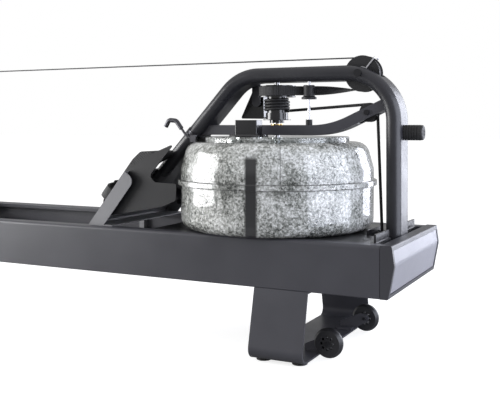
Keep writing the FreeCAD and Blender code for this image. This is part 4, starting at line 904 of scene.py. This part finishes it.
class ROWER_OT_tank(bpy.types.Operator):
    """Mist the tank and fill it with stirred water"""
    bl_idname = "rower.tank"
    bl_label = "Fill Tank"

    def execute(self, context):
        fill_tank(context.scene.rower_tank)
        return {"FINISHED"}


class ROWER_OT_straps(bpy.types.Operator):
    """Model the drive strap and the foot straps"""
    bl_idname = "rower.straps"
    bl_label = "Run Straps"

    def execute(self, context):
        run_straps(context.scene.rower_finishes)
        return {"FINISHED"}


class ROWER_OT_cord(bpy.types.Operator):
    """Wind the elastic cord on its spool"""
    bl_idname = "rower.cord"
    bl_label = "Wind Cord"

    def execute(self, context):
        wind_cord()
        return {"FINISHED"}


class ROWER_OT_seat(bpy.types.Operator):
    """Model and stuff the seat cushion"""
    bl_idname = "rower.seat"
    bl_label = "Stuff Seat"

    def execute(self, context):
        stuff_seat(context.scene.rower_seat)
        return {"FINISHED"}


class ROWER_OT_console(bpy.types.Operator):
    """Model the console's screen and keys"""
    bl_idname = "rower.console"
    bl_label = "Face Console"

    def execute(self, context):
        face_console()
        return {"FINISHED"}


class ROWER_OT_stage(bpy.types.Operator):
    """Add the floor, lights and camera"""
    bl_idname = "rower.stage"
    bl_label = "Set Stage"

    def execute(self, context):
        set_stage(context.scene.rower_stage)
        return {"FINISHED"}


class ROWER_PT_panel(bpy.types.Panel):
    """The rower's settings and steps in the sidebar"""
    bl_idname = "ROWER_PT_panel"
    bl_label = "Rowing Machine"
    bl_space_type = "VIEW_3D"
    bl_region_type = "UI"
    bl_category = "Rower"

    def draw(self, context):
        for group in SETTINGS:
            for field in getattr(context.scene, group).bl_rna.properties:
                if field.identifier not in ("name", "rna_type"):
                    self.layout.prop(getattr(context.scene, group), field.identifier)
        for step in STEPS:
            self.layout.operator(step.bl_idname)


SETTINGS = {
    "rower_finishes": RowerFinishes,
    "rower_tank": RowerTank,
    "rower_seat": RowerSeat,
    "rower_stage": RowerStage,
}
STEPS = (ROWER_OT_frame, ROWER_OT_tank, ROWER_OT_straps, ROWER_OT_cord, ROWER_OT_seat, ROWER_OT_console,
         ROWER_OT_stage)


def register():
    """Register the settings, the steps and the panel."""
    for group in SETTINGS.values():
        bpy.utils.register_class(group)
    for step in (*STEPS, ROWER_PT_panel):
        bpy.utils.register_class(step)
    for name, group in SETTINGS.items():
        setattr(bpy.types.Scene, name, PointerProperty(type=group))


def unregister():
    """Undo register."""
    for name in SETTINGS:
        delattr(bpy.types.Scene, name)
    for step in (ROWER_PT_panel, *reversed(STEPS)):
        bpy.utils.unregister_class(step)
    for group in reversed(SETTINGS.values()):
        bpy.utils.unregister_class(group)


def main():
    """Run every step in order."""
    register()
    bpy.ops.rower.frame()
    bpy.ops.rower.tank()
    bpy.ops.rower.straps()
    bpy.ops.rower.cord()
    bpy.ops.rower.seat()
    bpy.ops.rower.console()
    bpy.ops.rower.stage()


if __name__ == "__main__":
    main()
